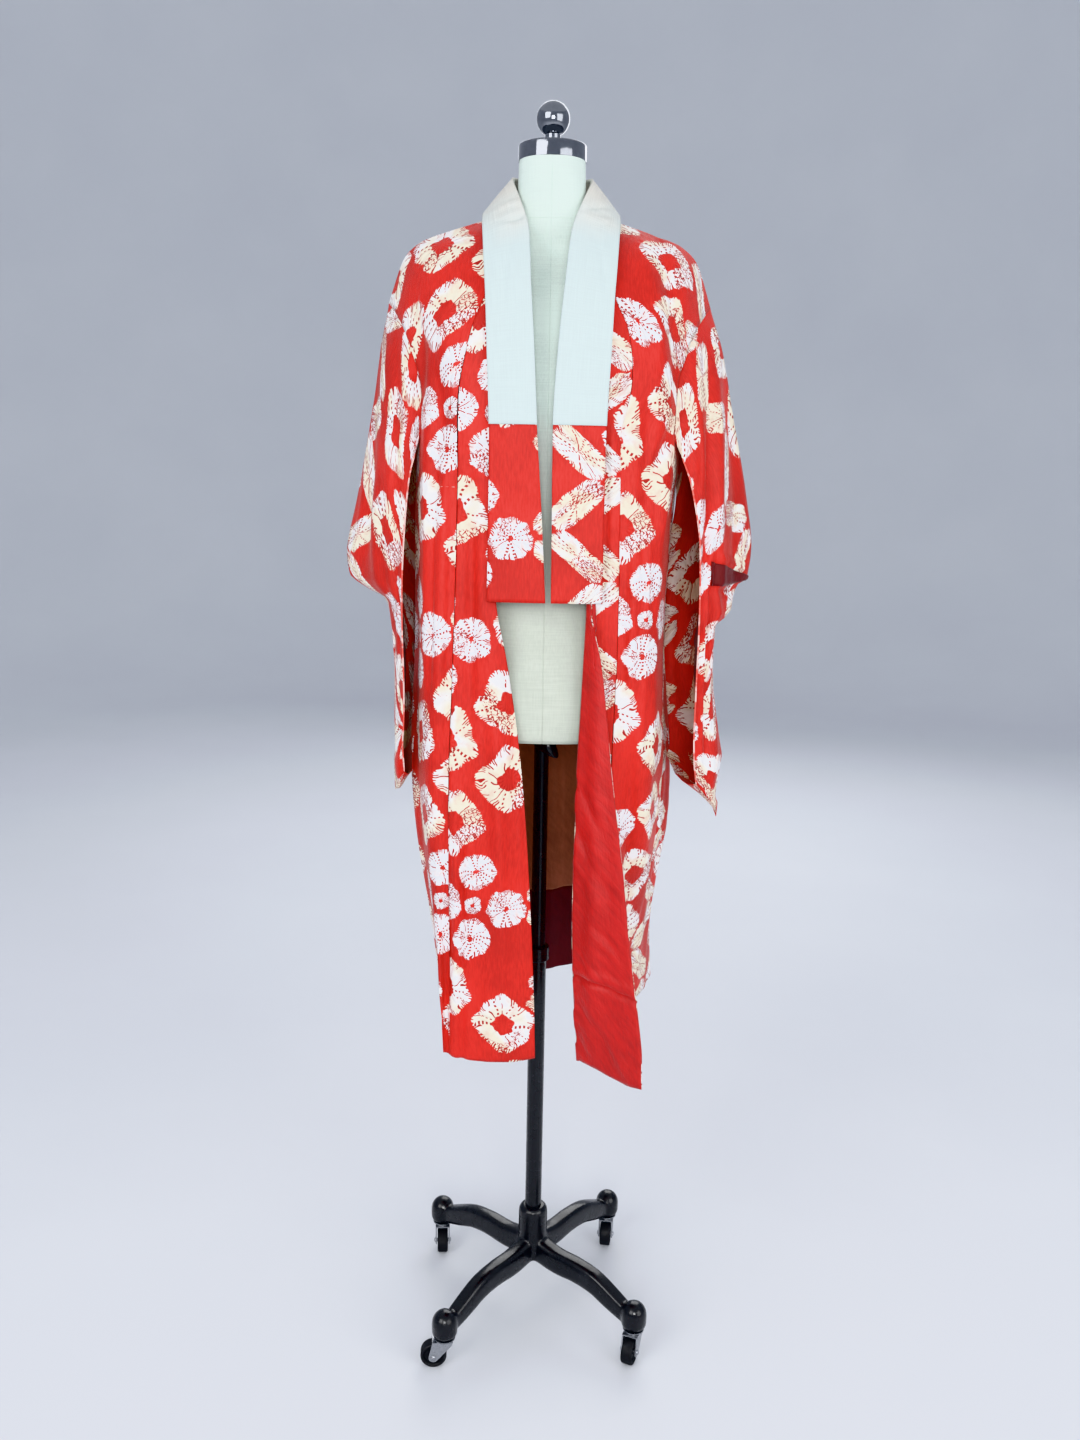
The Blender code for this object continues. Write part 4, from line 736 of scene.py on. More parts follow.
class Finish:
    """A node material: values or plain numbers go into its nodes, and values come out."""

    def __init__(self, name, **plain):
        self.material = bpy.data.materials.new(name)
        self.material.use_nodes = True
        self.tree = self.material.node_tree
        self.show(**plain)

    def put(self, socket, value):
        if isinstance(value, Value):
            self.tree.links.new(value.socket, socket)
        else:
            socket.default_value = value

    def show(self, **inputs):
        """Puts values into the shader's inputs."""
        for name, value in inputs.items():
            self.put(self.tree.nodes["Principled BSDF"].inputs[name.replace("_", " ")], value)

    def node(self, kind, inputs=(), **settings):
        """The outputs of a new node."""
        made = self.tree.nodes.new("ShaderNode" + kind)
        for name, value in settings.items():
            setattr(made, name, value)
        for socket, value in dict(inputs).items():
            self.put(made.inputs[socket], value)
        return [Value(self, output) for output in made.outputs]

    def math(self, operation, *values):
        return self.node("Math", enumerate(values), operation=operation)[0]

    def mix(self, share, low, high):
        return self.node("Mix", {0: share, 6: low, 7: high}, data_type="RGBA")[2]

    def ramp(self, value, start, end, low=0.0, high=1.0):
        """low before start, high after end, smooth between; start may be above end."""
        return self.node("MapRange", {0: value, 1: start, 2: end, 3: low, 4: high},
                         interpolation_type="SMOOTHSTEP")[0]

    def vector(self, x=0.0, y=0.0, z=0.0):
        return self.node("CombineXYZ", enumerate((x, y, z)))[0]

    def parts(self, vector):
        return self.node("SeparateXYZ", {0: vector})

    def noise(self, vector, scale, detail=2.0, roughness=0.5):
        inputs = {"Vector": vector, "Scale": scale, "Detail": detail, "Roughness": roughness}
        return self.node("TexNoise", inputs)[0]

    def streaks(self, vector, scales, detail=2.0, roughness=0.5):
        """Noise with a scale of its own along each axis."""
        stretched = self.node("VectorMath", {0: vector, 1: scales}, operation="MULTIPLY")[0]
        return self.noise(stretched, 1.0, detail, roughness)

    def here(self):
        return self.node("TexCoord")[3]                 # the place in the object

    def map(self, name):
        return self.node("UVMap", uv_map=name)[0]

    def relief(self, height, distance, strength=1.0):
        self.show(Normal=self.node("Bump", {"Height": height, "Distance": distance, "Strength": strength})[0])


def linear(colour, share=1.0):
    """A display colour out of 255, times a share, as linear RGBA."""
    level = np.array(colour) * share / 255
    return (*np.where(level <= 0.04045, level / 12.92, ((level + 0.055) / 1.055) ** 2.4).tolist(), 1)


THREADS_PER_METRE = 1100.0
DARKER = 0.86               # painted crinkle shade and random dark patches of a silk, as a share of its colour
PLEATS = 15                 # sewn pleats round a motif
TEETH = 5                   # teeth of its edge for each pleat
SQUARENESS = 4.5            # the power of the square motifs' outline
HEARTS = {ROUND: 0.13, BEAD: 0.24, SQUARE: 0.37}        # radius of each kind's dyed heart


def crepe(f, cloth):
    """Height of a fine plain weave with slubs along the cloth: two crossed sines over noise."""
    across, up = (f.math("SINE", part * (2 * pi * THREADS_PER_METRE)) for part in f.parts(cloth)[:2])
    return across * up * 0.15 + f.streaks(cloth, (900, 60, 0))


def lines_round(f, turned, number):
    """For lines at the middle of each unit of turned: how far off, and the line's own chance, 0 to 1."""
    line = f.vector(f.math("FLOOR", turned), number)
    return (abs(f.math("FRACT", turned) - 0.5),
            f.node("TexWhiteNoise", {0: line}, noise_dimensions="3D")[0])


def dyed_silk(name, ground, white, cream, roughness):
    """Silk tied and dyed: white rounds and cream squares and bars left in the ground, with jagged edges, a
    dyed heart, broken red pleat lines that radiate, and mottling where the dye crept in. The ground also
    darkens in painted shade along the crinkle, and in random patches."""
    f = Finish(name, Roughness=roughness, Sheen_Weight=0.18, Sheen_Roughness=0.4, Specular_IOR_Level=0.35,
               Sheen_Tint=(1.0, 0.75, 0.68, 1.0))
    cloth = f.map("cloth")
    motif_x, motif_y, _ = f.parts(f.map("motif"))
    kind, number = (f.math("ROUND", part / MOTIF_STEP) for part in (motif_x, motif_y))
    x, y = motif_x - kind * MOTIF_STEP, motif_y - number * MOTIF_STEP
    radius, angle = f.math("SQRT", x * x + y * y), f.math("ARCTAN2", y, x)
    seed = number * 3.7
    place = f.vector(x, y, seed)

    # The outline: a circle or a rounded square, bent and jagged, in teeth that run on as strokes.
    ring = f.vector(f.math("COSINE", angle), f.math("SINE", angle), seed)
    bend, spike = f.noise(ring, 1.6, 1) - 0.5, f.noise(ring, 11.0, 1) - 0.5
    square = f.ramp(kind, 1.4, 1.6)
    boxed = (abs(x) ** SQUARENESS + abs(y) ** SQUARENESS) ** (1 / SQUARENESS)
    size = square * boxed + (1 - square) * radius
    turned = f.noise(place, 1.5, 1) * 1.6 + angle * (PLEATS / (2 * pi))
    tooth, tooth_chance = lines_round(f, turned * TEETH, number)
    pleat, pleat_chance = lines_round(f, turned, number)
    tooth, pleat = tooth * radius, pleat * radius
    ragged = bend * 0.42 + (spike * 0.10 + size)
    inside = f.ramp(ragged + f.ramp(tooth, 0.5, 0.0) * (tooth_chance * 0.09), 1.02, 0.99)
    stroke = f.ramp(tooth, 0.34, 0.22) * f.ramp(tooth_chance ** 2.0 * 0.30 + ragged, 0.98, 1.03)
    hearts = [f.math("COMPARE", kind, which, 0.3) * heart for which, heart in HEARTS.items()]
    heart = f.ramp(hearts[0] + hearts[1] + hearts[2] - (bend * 0.26 + size), -0.01, 0.02)

    # What of the dye came through: dotted and solid pleat lines, cracked patches and the strokes.
    wide = f.ramp(pleat_chance, 0.22, 0.21, 0.085, 0.15)
    bead = f.math("SINE", pleat_chance * 90.0 + radius * 40.0)
    dotted = f.ramp(pleat / wide, 1.0, 0.6) * f.ramp(bead, -0.35, 0.15) * f.ramp(pleat_chance, 0.52, 0.51)
    solid = f.ramp(pleat, 0.075, 0.045) * f.ramp(pleat_chance, 0.76, 0.77)
    solid = solid * f.ramp(f.noise(place, 5.0, 1), 0.42, 0.48)
    crept = f.ramp(f.noise(f.vector(x, y, seed + 40.0), 0.75, 0), 0.585, 0.62)
    cracks = f.node("TexVoronoi", {"Vector": place, "Scale": 7.0}, feature="DISTANCE_TO_EDGE")[0]
    grain = f.noise(place, 16.0, 1)
    crept = crept * f.math("MAXIMUM", f.ramp(cracks, 0.11, 0.07) * f.ramp(grain, 0.40, 0.46),
                           f.ramp(grain, 0.60, 0.64))
    drops = f.math("MAXIMUM", f.math("MAXIMUM", dotted, solid), f.math("MAXIMUM", crept, stroke))

    # Painted shade along the crinkle, which also shapes the relief; the broader noise is random tone.
    crinkle = f.streaks(cloth, (420, 75, 0), 2)
    shade = crinkle * 0.35 + f.noise(cloth, 9.0, 3) * 0.65
    dye_and_shade = f.mix(f.ramp(shade, 0.36, 0.64), linear(ground), linear(ground, DARKER))
    creamy = square * f.ramp(f.noise(place, 0.9, 1), 0.40, 0.60, 0.15, 1.0)
    left_bare = f.mix(creamy, linear(white), linear(cream))
    stain = linear([0.75 * a + 0.25 * b for a, b in zip(cream, ground)])
    left_bare = f.mix(f.ramp(f.noise(place, 2.6, 2), 0.50, 0.75, 0.0, 0.40), left_bare, stain)
    left_bare = f.mix(drops, left_bare, linear(ground, 0.78))
    f.show(Base_Color=f.mix(inside * (1 - heart), dye_and_shade, left_bare))
    pucker = f.math("COSINE", turned * (2 * pi)) * (f.ramp(ragged, 1.25, 0.9) * f.ramp(radius, 0.1, 0.5))
    f.relief(pucker * 0.45 + (crinkle * 0.32 + crepe(f, cloth) * 0.22), 0.0014, 0.9)
    return f.material


def plain_silk(name, colour, roughness, relief, sheen=0.15):
    """Plain silk: soft colour changes, a fine weave, and the small slanting crush of old lining silk, which
    is a noise drawn out along the slant. The crush and the fine streaks also darken the colour, as painted
    shade in their creases; the rest of the colour change is random."""
    f = Finish(name, Roughness=roughness, Sheen_Weight=sheen, Sheen_Roughness=0.35, Specular_IOR_Level=0.4)
    cloth = f.map("cloth")
    u, v, _ = f.parts(cloth)
    crush = f.streaks(f.vector(u - v, u + v), (95, 20, 0), 3, 0.55)
    fine = f.streaks(cloth, (420, 60, 0), 2)
    # Painted shade along the crush and the fine streaks, which also shape the relief; the broad noise is
    # random tone.
    shade = crush * 0.45 + (fine * 0.2 + f.noise(cloth, 8.0, 3) * 0.35)
    f.show(Base_Color=f.mix(f.ramp(shade, 0.34, 0.62), linear(colour, DARKER), linear(colour)))
    f.relief(crush * relief + (fine * 0.4 + crepe(f, cloth) * 0.2), 0.0016, 0.8)
    return f.material


def linen_cover(name, colour, near_neck):
    """Fine linen: crossed threads of uneven thickness that show as a light grid, aged to near_neck's colour
    where it lies against the neck, and a soft sheenless face."""
    f = Finish(name, Roughness=0.85, Specular_IOR_Level=0.25, Sheen_Weight=0.1)
    cloth = f.map("cloth")
    threads = f.streaks(cloth, (900, 22, 0), 2) + f.streaks(cloth, (22, 900, 0), 2)
    height = f.noise(f.here(), 18.0, 2) * 0.06 + f.parts(f.here())[2]
    aged = f.ramp(height, 1.58, 1.66)
    plain, thin = (f.mix(aged, linear(colour, share), linear(near_neck, share)) for share in (1, 0.95))
    f.show(Base_Color=f.mix(f.ramp(threads, 0.75, 1.25), thin, plain))
    f.relief(threads * 0.35 + f.noise(cloth, 26.0, 2), 0.0012, 0.6)
    return f.material


def painted_form(name, colour, low_shade):
    """Canvas drawn over papier mache: fine crossed threads, an even grain, faint blotches, and painted shade
    that darkens it low down."""
    f = Finish(name, Roughness=0.75, Specular_IOR_Level=0.3, Sheen_Weight=0.08)
    here = f.here()
    threads = f.streaks(here, (800, 800, 30), 1) + f.streaks(here, (30, 30, 800), 1)
    shade = threads * 0.3 + f.noise(here, 9.0, 3) * 0.7
    # Painted shade: below the chest the colour goes over to the darker second colour towards the bottom.
    wear_and_low_shade = f.ramp(f.parts(here)[2], 1.30, 1.05)
    clean, dull = (f.mix(wear_and_low_shade, linear(colour, share), linear(low_shade, share)) for share in (1, 0.94))
    f.show(Base_Color=f.mix(f.ramp(shade, 0.5, 0.8), clean, dull))
    f.relief(threads * 0.4 + f.noise(here, 30.0, 2) * 0.5, 0.0007, 0.6)
    return f.material


def selvedge_silk(name, pale, stained):
    """The rolled edge of the silk: pale thread with the dye's red where it ran in, and a twist across it."""
    f = Finish(name, Roughness=0.6, Specular_IOR_Level=0.3, Sheen_Weight=0.15)
    here = f.here()
    ran = f.ramp(f.streaks(here, (30, 30, 70), 2), 0.44, 0.56)
    f.show(Base_Color=f.mix(ran, linear(pale), linear(stained)))
    f.relief(f.noise(here, 700.0, 2), 0.0004, 0.7)
    return f.material


def metal(name, colour, roughness, streaks):
    """Bare or plated metal with fine scratches that change its gloss."""
    f = Finish(name, Metallic=1.0)
    marks = f.noise(f.here(), streaks, 4, 0.7)
    f.show(Base_Color=f.mix(marks, linear(colour), linear(colour, 0.85)),
           Roughness=f.ramp(marks, 0.3, 0.8, roughness, roughness * 1.9))
    f.relief(marks, 0.0002, 0.25)
    return f.material


def coated(name, colour, wear_and_low_shade, roughness, grain, coat=0.0):
    """Enamel or moulded plastic: its colour with a little dust or wear, and an orange-peel face."""
    f = Finish(name, Coat_Weight=coat, Coat_Roughness=0.08, Specular_IOR_Level=0.5)
    here = f.here()
    dust = f.ramp(f.noise(here, 22.0, 4), 0.55, 0.80)
    f.show(Base_Color=f.mix(dust, linear(colour), linear(wear_and_low_shade)),
           Roughness=f.ramp(f.noise(here, 60.0, 3), 0.3, 0.8, roughness, roughness * 1.6))
    f.relief(f.noise(here, grain, 2), 0.0003, 0.35)
    return f.material


SILK = dyed_silk("dyed_silk", (214, 53, 44), (246, 246, 250), (245, 236, 214), 0.5)
SILK_BACK = dyed_silk("dyed_silk_wrong_side", (204, 50, 42), (232, 220, 214), (226, 206, 180), 0.65)
PLAIN_SILK = plain_silk("plain_red_silk", (196, 46, 42), 0.42, 0.8, 0.25)
CUFF_SILK = plain_silk("cuff_red_silk", (112, 20, 20), 0.5, 0.6, 0.2)
# The hem band is the facing's red silk made much darker: painted shade, where it lies deep inside the back.
SHADED_BAND_SILK = plain_silk("hem_band_shaded_silk", (94, 14, 17), 0.5, 0.6, 0.2)
SELVEDGE = selvedge_silk("selvedge_silk", (240, 208, 200), (222, 96, 84))
LINING = plain_silk("beige_lining", (178, 116, 94), 0.6, 0.3)
LINEN = linen_cover("collar_linen", (208, 221, 220), (214, 211, 202))
# Its second colour is painted shade on the form's lower part.
FORM_COVER = painted_form("form_cover", (224, 238, 229), (194, 200, 187))
# Darker than real chrome: painted shade, so that the bright room shows darker in it.
CHROME = metal("chrome", (156, 159, 165), 0.07, 140.0)
ZINC = metal("zinc", (186, 188, 192), 0.24, 260.0)
ENAMEL = coated("black_enamel", (10, 10, 13), (30, 31, 35), 0.24, 180.0, coat=0.35)
TYRE = coated("black_tyre", (18, 18, 20), (58, 58, 60), 0.5, 320.0)

# ---- the robe ----
# Fine columns and rows for each one of the solids' grids.
ACROSS, UP = 6, 14
FLAP_FINE, SLEEVE_UP, COLLAR_UP, COLLAR_FINE, OVERLAP_FINE = 4, 10, 10, 8, 8


def body_patches(side, grids):
    """The panel's fine grids, pressed, from the front seam to the centre back: front, flank and back."""
    mirrored = side == "right"
    lower, front, back = (finer(grid, 1, ACROSS) for grid in grids[side])
    first, last = ACROSS * FRONT_COLUMNS, ACROSS * (FRONT_COLUMNS + SIDE_COLUMNS)
    patches = [finer(np.concatenate([lower[:, :first + 1], front[1:]]), UP, 1),
               finer(lower[:, first:last + 1], UP, 1),
               finer(np.concatenate([lower[:, last:], back[1:]]), UP, 1)]
    sewn(patches, first)
    patches = [pressed(patch, [BODY_CREASES], mirrored) for patch in patches]
    if mirrored:
        patches = [right_hem(patch) for patch in patches]
    sewn(patches, first)
    return patches


def sewn(patches, first):
    """Makes neighbouring patches share their edges: at both sides of the flank and along the shoulder."""
    front, flank, back = patches
    flank[:, 0], flank[:, -1] = front[:len(flank), -1], back[:len(flank), 0]
    back[-1, :first + 1] = front[-1, ::-1]
    back[:, -1, 0] = np.sign(back[0, 1, 0]) * SEAM_GAP / 2


HEM_COLUMNS = ("x", "lift")
RIGHT_HEM = (
    (-160, 0), (-130, 7.6), (-117, 0), (-81, -6), (-33, -6), (-15, -3), (-1, 0),
)
RIGHT_HEM_EASE = 0.15
RIGHT_HEM_BACK, RIGHT_HEM_SIDE = 0.02, 0.06     # it dies out in front of this y, over this length


def right_hem(points):
    """The front hem of the right half hangs in a shallow bow with a rounded corner: heights move by RIGHT_HEM
    at the hem, dying out above it and round the side."""
    line = table(HEM_COLUMNS, RIGHT_HEM)
    above = points[..., 2] - points[..., 2].min()
    lift = np.interp(points[..., 0], line["x"], line["lift"], left=0, right=0)
    lift *= smooth_step((RIGHT_HEM_BACK - points[..., 1]) / RIGHT_HEM_SIDE)
    lift *= 1 - smooth_step(above / RIGHT_HEM_EASE)
    return points + xyz(0, 0, lift)


BODY_CUT = {"right": (-0.009, -0.875), "left": (-0.059, -0.608)}      # where the panel lies in the repeat


def make_body(side, patches):
    """The panel: its front half and, past the side seam, its back half, which runs the other way up."""
    front, flank, back = patches
    rows, seam = len(flank), ACROSS * (LINING_FIRST_COLUMN - FRONT_COLUMNS)
    before, behind = flank[:, :seam + 1], flank[:, seam:]
    across, up, rise = run_across(front), run_up(front), run_up(back)
    inwards, reach = run_across(back), run_across(behind)
    over = up[-1] + rise[-1] - rise
    maps = ((front, across, up), (before, across[:rows, -1:] + run_across(before), up[:rows]),
            (behind, reach - reach[:, -1:] - inwards[:rows, -1:], over[:rows]),
            (back, inwards - inwards[:, -1:], over))
    pieces = [(turned_out(grid, side == "right"),
               turned_out(pair(SIDES[side] * u, v), side == "right") + BODY_CUT[side]) for grid, u, v in maps]
    silk_sheet(f"robe_body_{side}", pieces, f"body_{side}")


FACING_SHOWS_TO = 10        # the facing runs on up behind the collar's end
CORNER_PLACES, CORNER_LIFT = (0, 0.5, 0.75, 0.9, 1), (0, 0, 0.007, 0.014, 0.023)
CORNER_IN, CORNER_EASE = 0.004, (0.35, 0.06)
RIGHT_OVERLAP_CUT, LEFT_OVERLAP_CUT = (-0.065, -0.231), (0.125, -0.611)


def left_corner(flap):
    """The folded-out front's free corner is cut up: it lifts by CORNER_LIFT from the fold to the free edge,
    and the edge turns in a little at the end."""
    last = len(FLAP_PLACES) - 1
    places = np.interp(np.linspace(last, 0, flap.shape[1]), range(last + 1), FLAP_PLACES)
    above = flap[..., 2] - flap[:1, :, 2]
    up, side = (1 - smooth_step(above / ease) for ease in CORNER_EASE)
    return flap + xyz(-CORNER_IN * np.clip(2 * places - 1, 0, 1) * side, 0,
                      np.interp(places, CORNER_PLACES, CORNER_LIFT) * up)


def make_overlaps(grids):
    """The right overlap, the left one folded out, and the plain facing that its fold shows."""
    grid = right_hem(pressed(finer(right_overlap(grids)[:, ::-1], UP, OVERLAP_FINE), [BODY_CREASES]))
    silk_sheet("robe_overlap_right", [(grid, cloth_map(grid, RIGHT_OVERLAP_CUT))], "overlap_right")
    flap = pressed(finer(left_overlap(grids)[:, ::-1], UP, FLAP_FINE), [BODY_CREASES, FACING_CREASES])
    flap = left_corner(flap)
    place = cloth_map(flap, LEFT_OVERLAP_CUT, from_right=True)
    silk_sheet("robe_overlap_left", [(flap, place)], "overlap_left")
    inner = flap - (CLOTH + FACING_GAP) * grid_normals(flap)
    inner = inner[:UP * FACING_SHOWS_TO + 1, :FLAP_FINE * (FACING_COLUMNS - 1) + 1]
    plain_sheet("robe_front_facing", [inner], PLAIN_SILK, "front_facing")


def make_linings(bodies):
    """The back's inner side from side seam to side seam: the plain lining, and a band above the hem."""
    rows, seam = UP * LINING_TOP_ROW + 1, ACROSS * (LINING_FIRST_COLUMN - FRONT_COLUMNS)
    halves = {}
    for side, (_, flank, back) in bodies.items():
        half = np.concatenate([flank[:rows, seam:], back[:rows, 1:]], axis=1)
        halves[side] = half - (CLOTH + LINING_GAP) * outward(half, side == "right")
        halves[side][:, -1, 0] = 0
    middle = (halves["right"][:, -1:] + halves["left"][:, -1:]) / 2
    whole = np.concatenate([halves["left"][:, :-1], middle, halves["right"][:, -2::-1]], axis=1)
    band = UP * BAND_TOP_ROW
    plain_sheet("robe_hem_band", [whole[:band + 1]], SHADED_BAND_SILK, "back_hem_band")
    plain_sheet("robe_back_lining", [whole[band:]], LINING, "back_lining")


COVER_OUT, COVER_IN, COVER_TURN = 0.0021, 0.0026, 0.25
COLLAR_CUTS = ((-0.001, -0.084), (0.060, 0.0))


def make_collar():
    """The band in two halves from the centre back, and the linen cover folded over its inner edge."""
    band = pressed(finer(collar_grid(), COLLAR_UP, COLLAR_FINE), [COLLAR_CREASES])
    middle = len(band) // 2
    halves = zip((band[:middle + 1], band[middle:]), COLLAR_CUTS)
    patches = [(half, cloth_map(half, cut)) for half, cut in halves]
    silk_sheet("robe_collar", patches, "collar_band", COLLAR_WALL)
    end = COLLAR_UP * COLLAR_ROWS_PER_STATION * COVER_END
    normals = grid_normals(band)
    over, under = band + COVER_OUT * normals, band - COVER_IN * normals
    turn = band[:, -1:] + (band[:, -1:] - band[:, -2:-1]) * COVER_TURN
    under = under[:, -1:COLLAR_FINE * COLLAR_ACROSS // 4:-1]
    cover = np.concatenate([over, (over[:, -1:] + turn) / 2, turn, (under[:, :1] + turn) / 2, under], axis=1)
    plain_sheet("collar_cover_linen", [cover[end:-end]], LINEN, "collar_cover", WALL)


SLEEVE_CUT = {"right": (0.06, 0.10), "left": (-0.02, 0.24)}
BACK_SHIFT, BOTTOM_SHIFT = (0.13, 0.30), (0, -0.02)     # the back layer and the bottom lie further on
BOTTOM_ROWS = 8
ARMHOLE_ROWS = 16           # over these rows the sleeve eases from the body's edge to its own line
TUCKED = {"right": 0.009, "left": 0.017}        # the back layer's open edge hangs in behind the body
CUFF_LINE_COLUMNS = ("z", "x")
# The sleeve's outer line: it turns in sharply below the cuff.
CUFF_LINE = {
    "right": (
        (900, 207.8), (1000, 208.6), (1035, 209.4), (1063, 211.5), (1080, 213.6), (1094, 216.2),
        (1107.6, 220.3), (1115, 226.2), (1121, 240), (1131, 256.8), (1144, 271.5), (1154, 273),
    ),
    "left": (
        (834, 249), (898, 254.9), (955, 245), (1003, 239), (1050, 236.7), (1085, 238.8), (1093, 249),
        (1104, 257.5), (1124, 260.6), (1137, 265), (1144, 276.5), (1170, 280.2),
    ),
}
CUFF_LINE_Y, FRONT_VIEW = -0.020, 1.677         # where the line lies, and the distance it is seen from
CUFF_LINE_FADE, CUFF_LINE_LEVELS = 0.012, 160
LEAST_REACH, LEAST_SHARE = 0.004, 0.2           # a level is never drawn in further than to this share
BOTTOM_LIFT = {"right": (0, 0, 0), "left": (0.014, 0.008, 0.007)}     # at the open edge, middle and outside
BOTTOM_EASE = 0.12
# The facing's corner: from which share of the way across to which, its upper and its lower edge.
LIP_FROM, LIP_TOP, LIP_BOTTOM = 0.28, (1.173, 1.168, 1.158, 1.149), (1.141, 1.140, 1.141, 1.145)
LIP_OUT, LIP_LEVELS = 0.0026, 9


def drawn_in(front, back, side):
    """Both layers drawn in towards their open edge, level by level, until the front one's outline is
    CUFF_LINE as it is seen from straight ahead at FRONT_VIEW, and their bottoms lifted by BOTTOM_LIFT."""
    line = table(CUFF_LINE_COLUMNS, CUFF_LINE[side])
    low, high = line["z"][0] - CUFF_LINE_FADE, line["z"][-1] + CUFF_LINE_FADE
    levels = np.linspace(low, high, CUFF_LINE_LEVELS)
    seen = SIDES[side] * front[..., 0] * (FRONT_VIEW + CUFF_LINE_Y) / (FRONT_VIEW + front[..., 1])
    inner = np.interp(levels, front[::-1, 0, 2], seen[::-1, 0])
    lines = [np.interp(levels, front[::-1, column, 2], seen[::-1, column], left=0)
             for column in range(front.shape[1])]
    widest = np.maximum(np.max(lines, axis=0), inner + LEAST_REACH)
    share = (np.interp(levels, line["z"], line["x"]) - inner) / (widest - inner)
    near = smooth_step((levels - low) / CUFF_LINE_FADE) * smooth_step((high - levels) / CUFF_LINE_FADE)
    keep = 1 + (np.clip(share, LEAST_SHARE, 1) - 1) * near
    drawn = []
    for layer in (front.copy(), back.copy()):
        edge = layer[:, :1, 0].copy()
        layer[..., 0] = edge + (layer[..., 0] - edge) * np.interp(layer[..., 2], levels, keep)
        lift = np.interp(np.linspace(0, 1, layer.shape[1]), (0, 0.5, 1), BOTTOM_LIFT[side])
        layer[..., 2] += lift * (1 - smooth_step((layer[..., 2] - layer[-1:, :, 2]) / BOTTOM_EASE))
        drawn.append(layer)
    return drawn


def read_at(at, along, points):
    """Points read along a path at other values of what runs along it."""
    return np.stack([np.interp(at, along, points[:, axis]) for axis in range(3)], axis=-1)


def cuff_lip(front):
    """The corner of the facing that the cuff's sagging front edge shows: a strip of the front layer between
    two heights, lying just outside it."""
    columns = np.arange(int(LIP_FROM * (front.shape[1] - 1)), front.shape[1])
    across, stations = np.linspace(0, 1, len(columns)), np.linspace(0, 1, len(LIP_TOP))
    top, bottom = (np.interp(across, stations, edge) for edge in (LIP_TOP, LIP_BOTTOM))
    normals = outward(front, False, upside_down=True)
    strips = []
    for column, high, low in zip(columns, top, bottom):
        line, away = front[::-1, column], normals[::-1, column]
        heights = np.linspace(low, high, LIP_LEVELS)
        strips.append(read_at(heights, line[:, 2], line) + LIP_OUT * read_at(heights, line[:, 2], away))
    return np.swapaxes(np.array(strips), 0, 1)


def sewn_to(layer, edge):
    """The layer moved so that its first row lies on the body's edge, easing out over the next rows."""
    whole = loft(edge, layer.shape[1] - 1)
    share = smooth_step(1 - np.arange(len(layer)) / ARMHOLE_ROWS)
    return layer + (whole - layer[0]) * share[:, None, None]


def make_sleeve(side, grids, body):
    """A front and a back layer that share their outer edge except at the cuff, and a round bottom."""
    mirrored = side == "right"
    front, back = (finer(layer, SLEEVE_UP, ACROSS) for layer in sleeve_layers(grids, side))
    first, last = SLEEVE_UP * (MOUTH_ROWS[0] - 1), SLEEVE_UP * (MOUTH_ROWS[-1] + 1)
    shared = np.r_[0:first + 1, last:len(front)]
    front = pressed(front, [SLEEVE_CREASES], mirrored, upside_down=True)
    back = pressed(back, [SLEEVE_CREASES], mirrored)
    hangs = smooth_step((np.arange(len(back)) - ARMHOLE_ROWS) / (2 * ARMHOLE_ROWS))[:, None]
    back[..., 0] -= SIDES[side] * TUCKED[side] * hangs * np.linspace(1, 0, back.shape[1]) ** 2
    front, back = drawn_in(front, back, side)
    armpit = len(body[1]) - 1
    front, back = sewn_to(front, body[0][armpit:, -1]), sewn_to(back, body[2][armpit:, 0])
    edge = (front[shared, -1] + back[shared, -1]) / 2
    front[shared, -1] = back[shared, -1] = edge
    low = (front[-1] + back[-1]) / 2 - (0, 0, SLEEVE_BOTTOM_SAG)
    low[-1] = edge[-1]
    bottom = loft(np.stack([front[-1], low, back[-1]]), BOTTOM_ROWS)
    patches = []
    for grid, upside_down, shift in ((front, True, (0, 0)), (back, False, BACK_SHIFT),
                                     (bottom, True, BOTTOM_SHIFT)):
        grid = turned_out(grid, mirrored, upside_down)
        patches.append((grid, cloth_map(grid, np.add(SLEEVE_CUT[side], shift), downwards=not upside_down)))
    silk_sheet(f"robe_sleeve_{side}", patches, f"sleeve_{side}")
    make_cuff_facing(side, front, back)
    sewn_object(f"sleeve_edge_{side}", [tube(front[ARMHOLE_ROWS // 2:, 0], EDGE_ROLL)], SELVEDGE)


def make_cuff_facing(side, front, back):
    """The plain strip round the inside of the cuff's open edge, and on the left its corner outside."""
    rows = slice(SLEEVE_UP * CUFF_FACING_TOP[side], SLEEVE_UP * MOUTH_ROWS[-1] + 1)
    wide = ACROSS * (CUFF_FACING_COLUMNS - 1) + 1
    lip = [cuff_lip(front)] if side == "left" else []
    front, back = front[rows, -wide:], back[rows, -wide:]
    strip = np.concatenate([front, (front[-1:] + back[-1:]) / 2, back[::-1]])
    inside = turned_out(strip + SIDES[side] * (CLOTH + LINING_GAP) * grid_normals(strip), side == "left")
    plain_sheet(f"cuff_lining_{side}", [inside] + lip, CUFF_SILK, f"cuff_facing_{side}")


def make_robe():
    grids = {side: body_grids(side) for side in SIDES}
    bodies = {side: body_patches(side, grids) for side in SIDES}
    for side, patches in bodies.items():
        make_body(side, patches)
    make_overlaps(grids)
    make_linings(bodies)
    make_collar()
    for side in SIDES:
        make_sleeve(side, grids, bodies[side])
    make_tuck(bodies["right"][0])


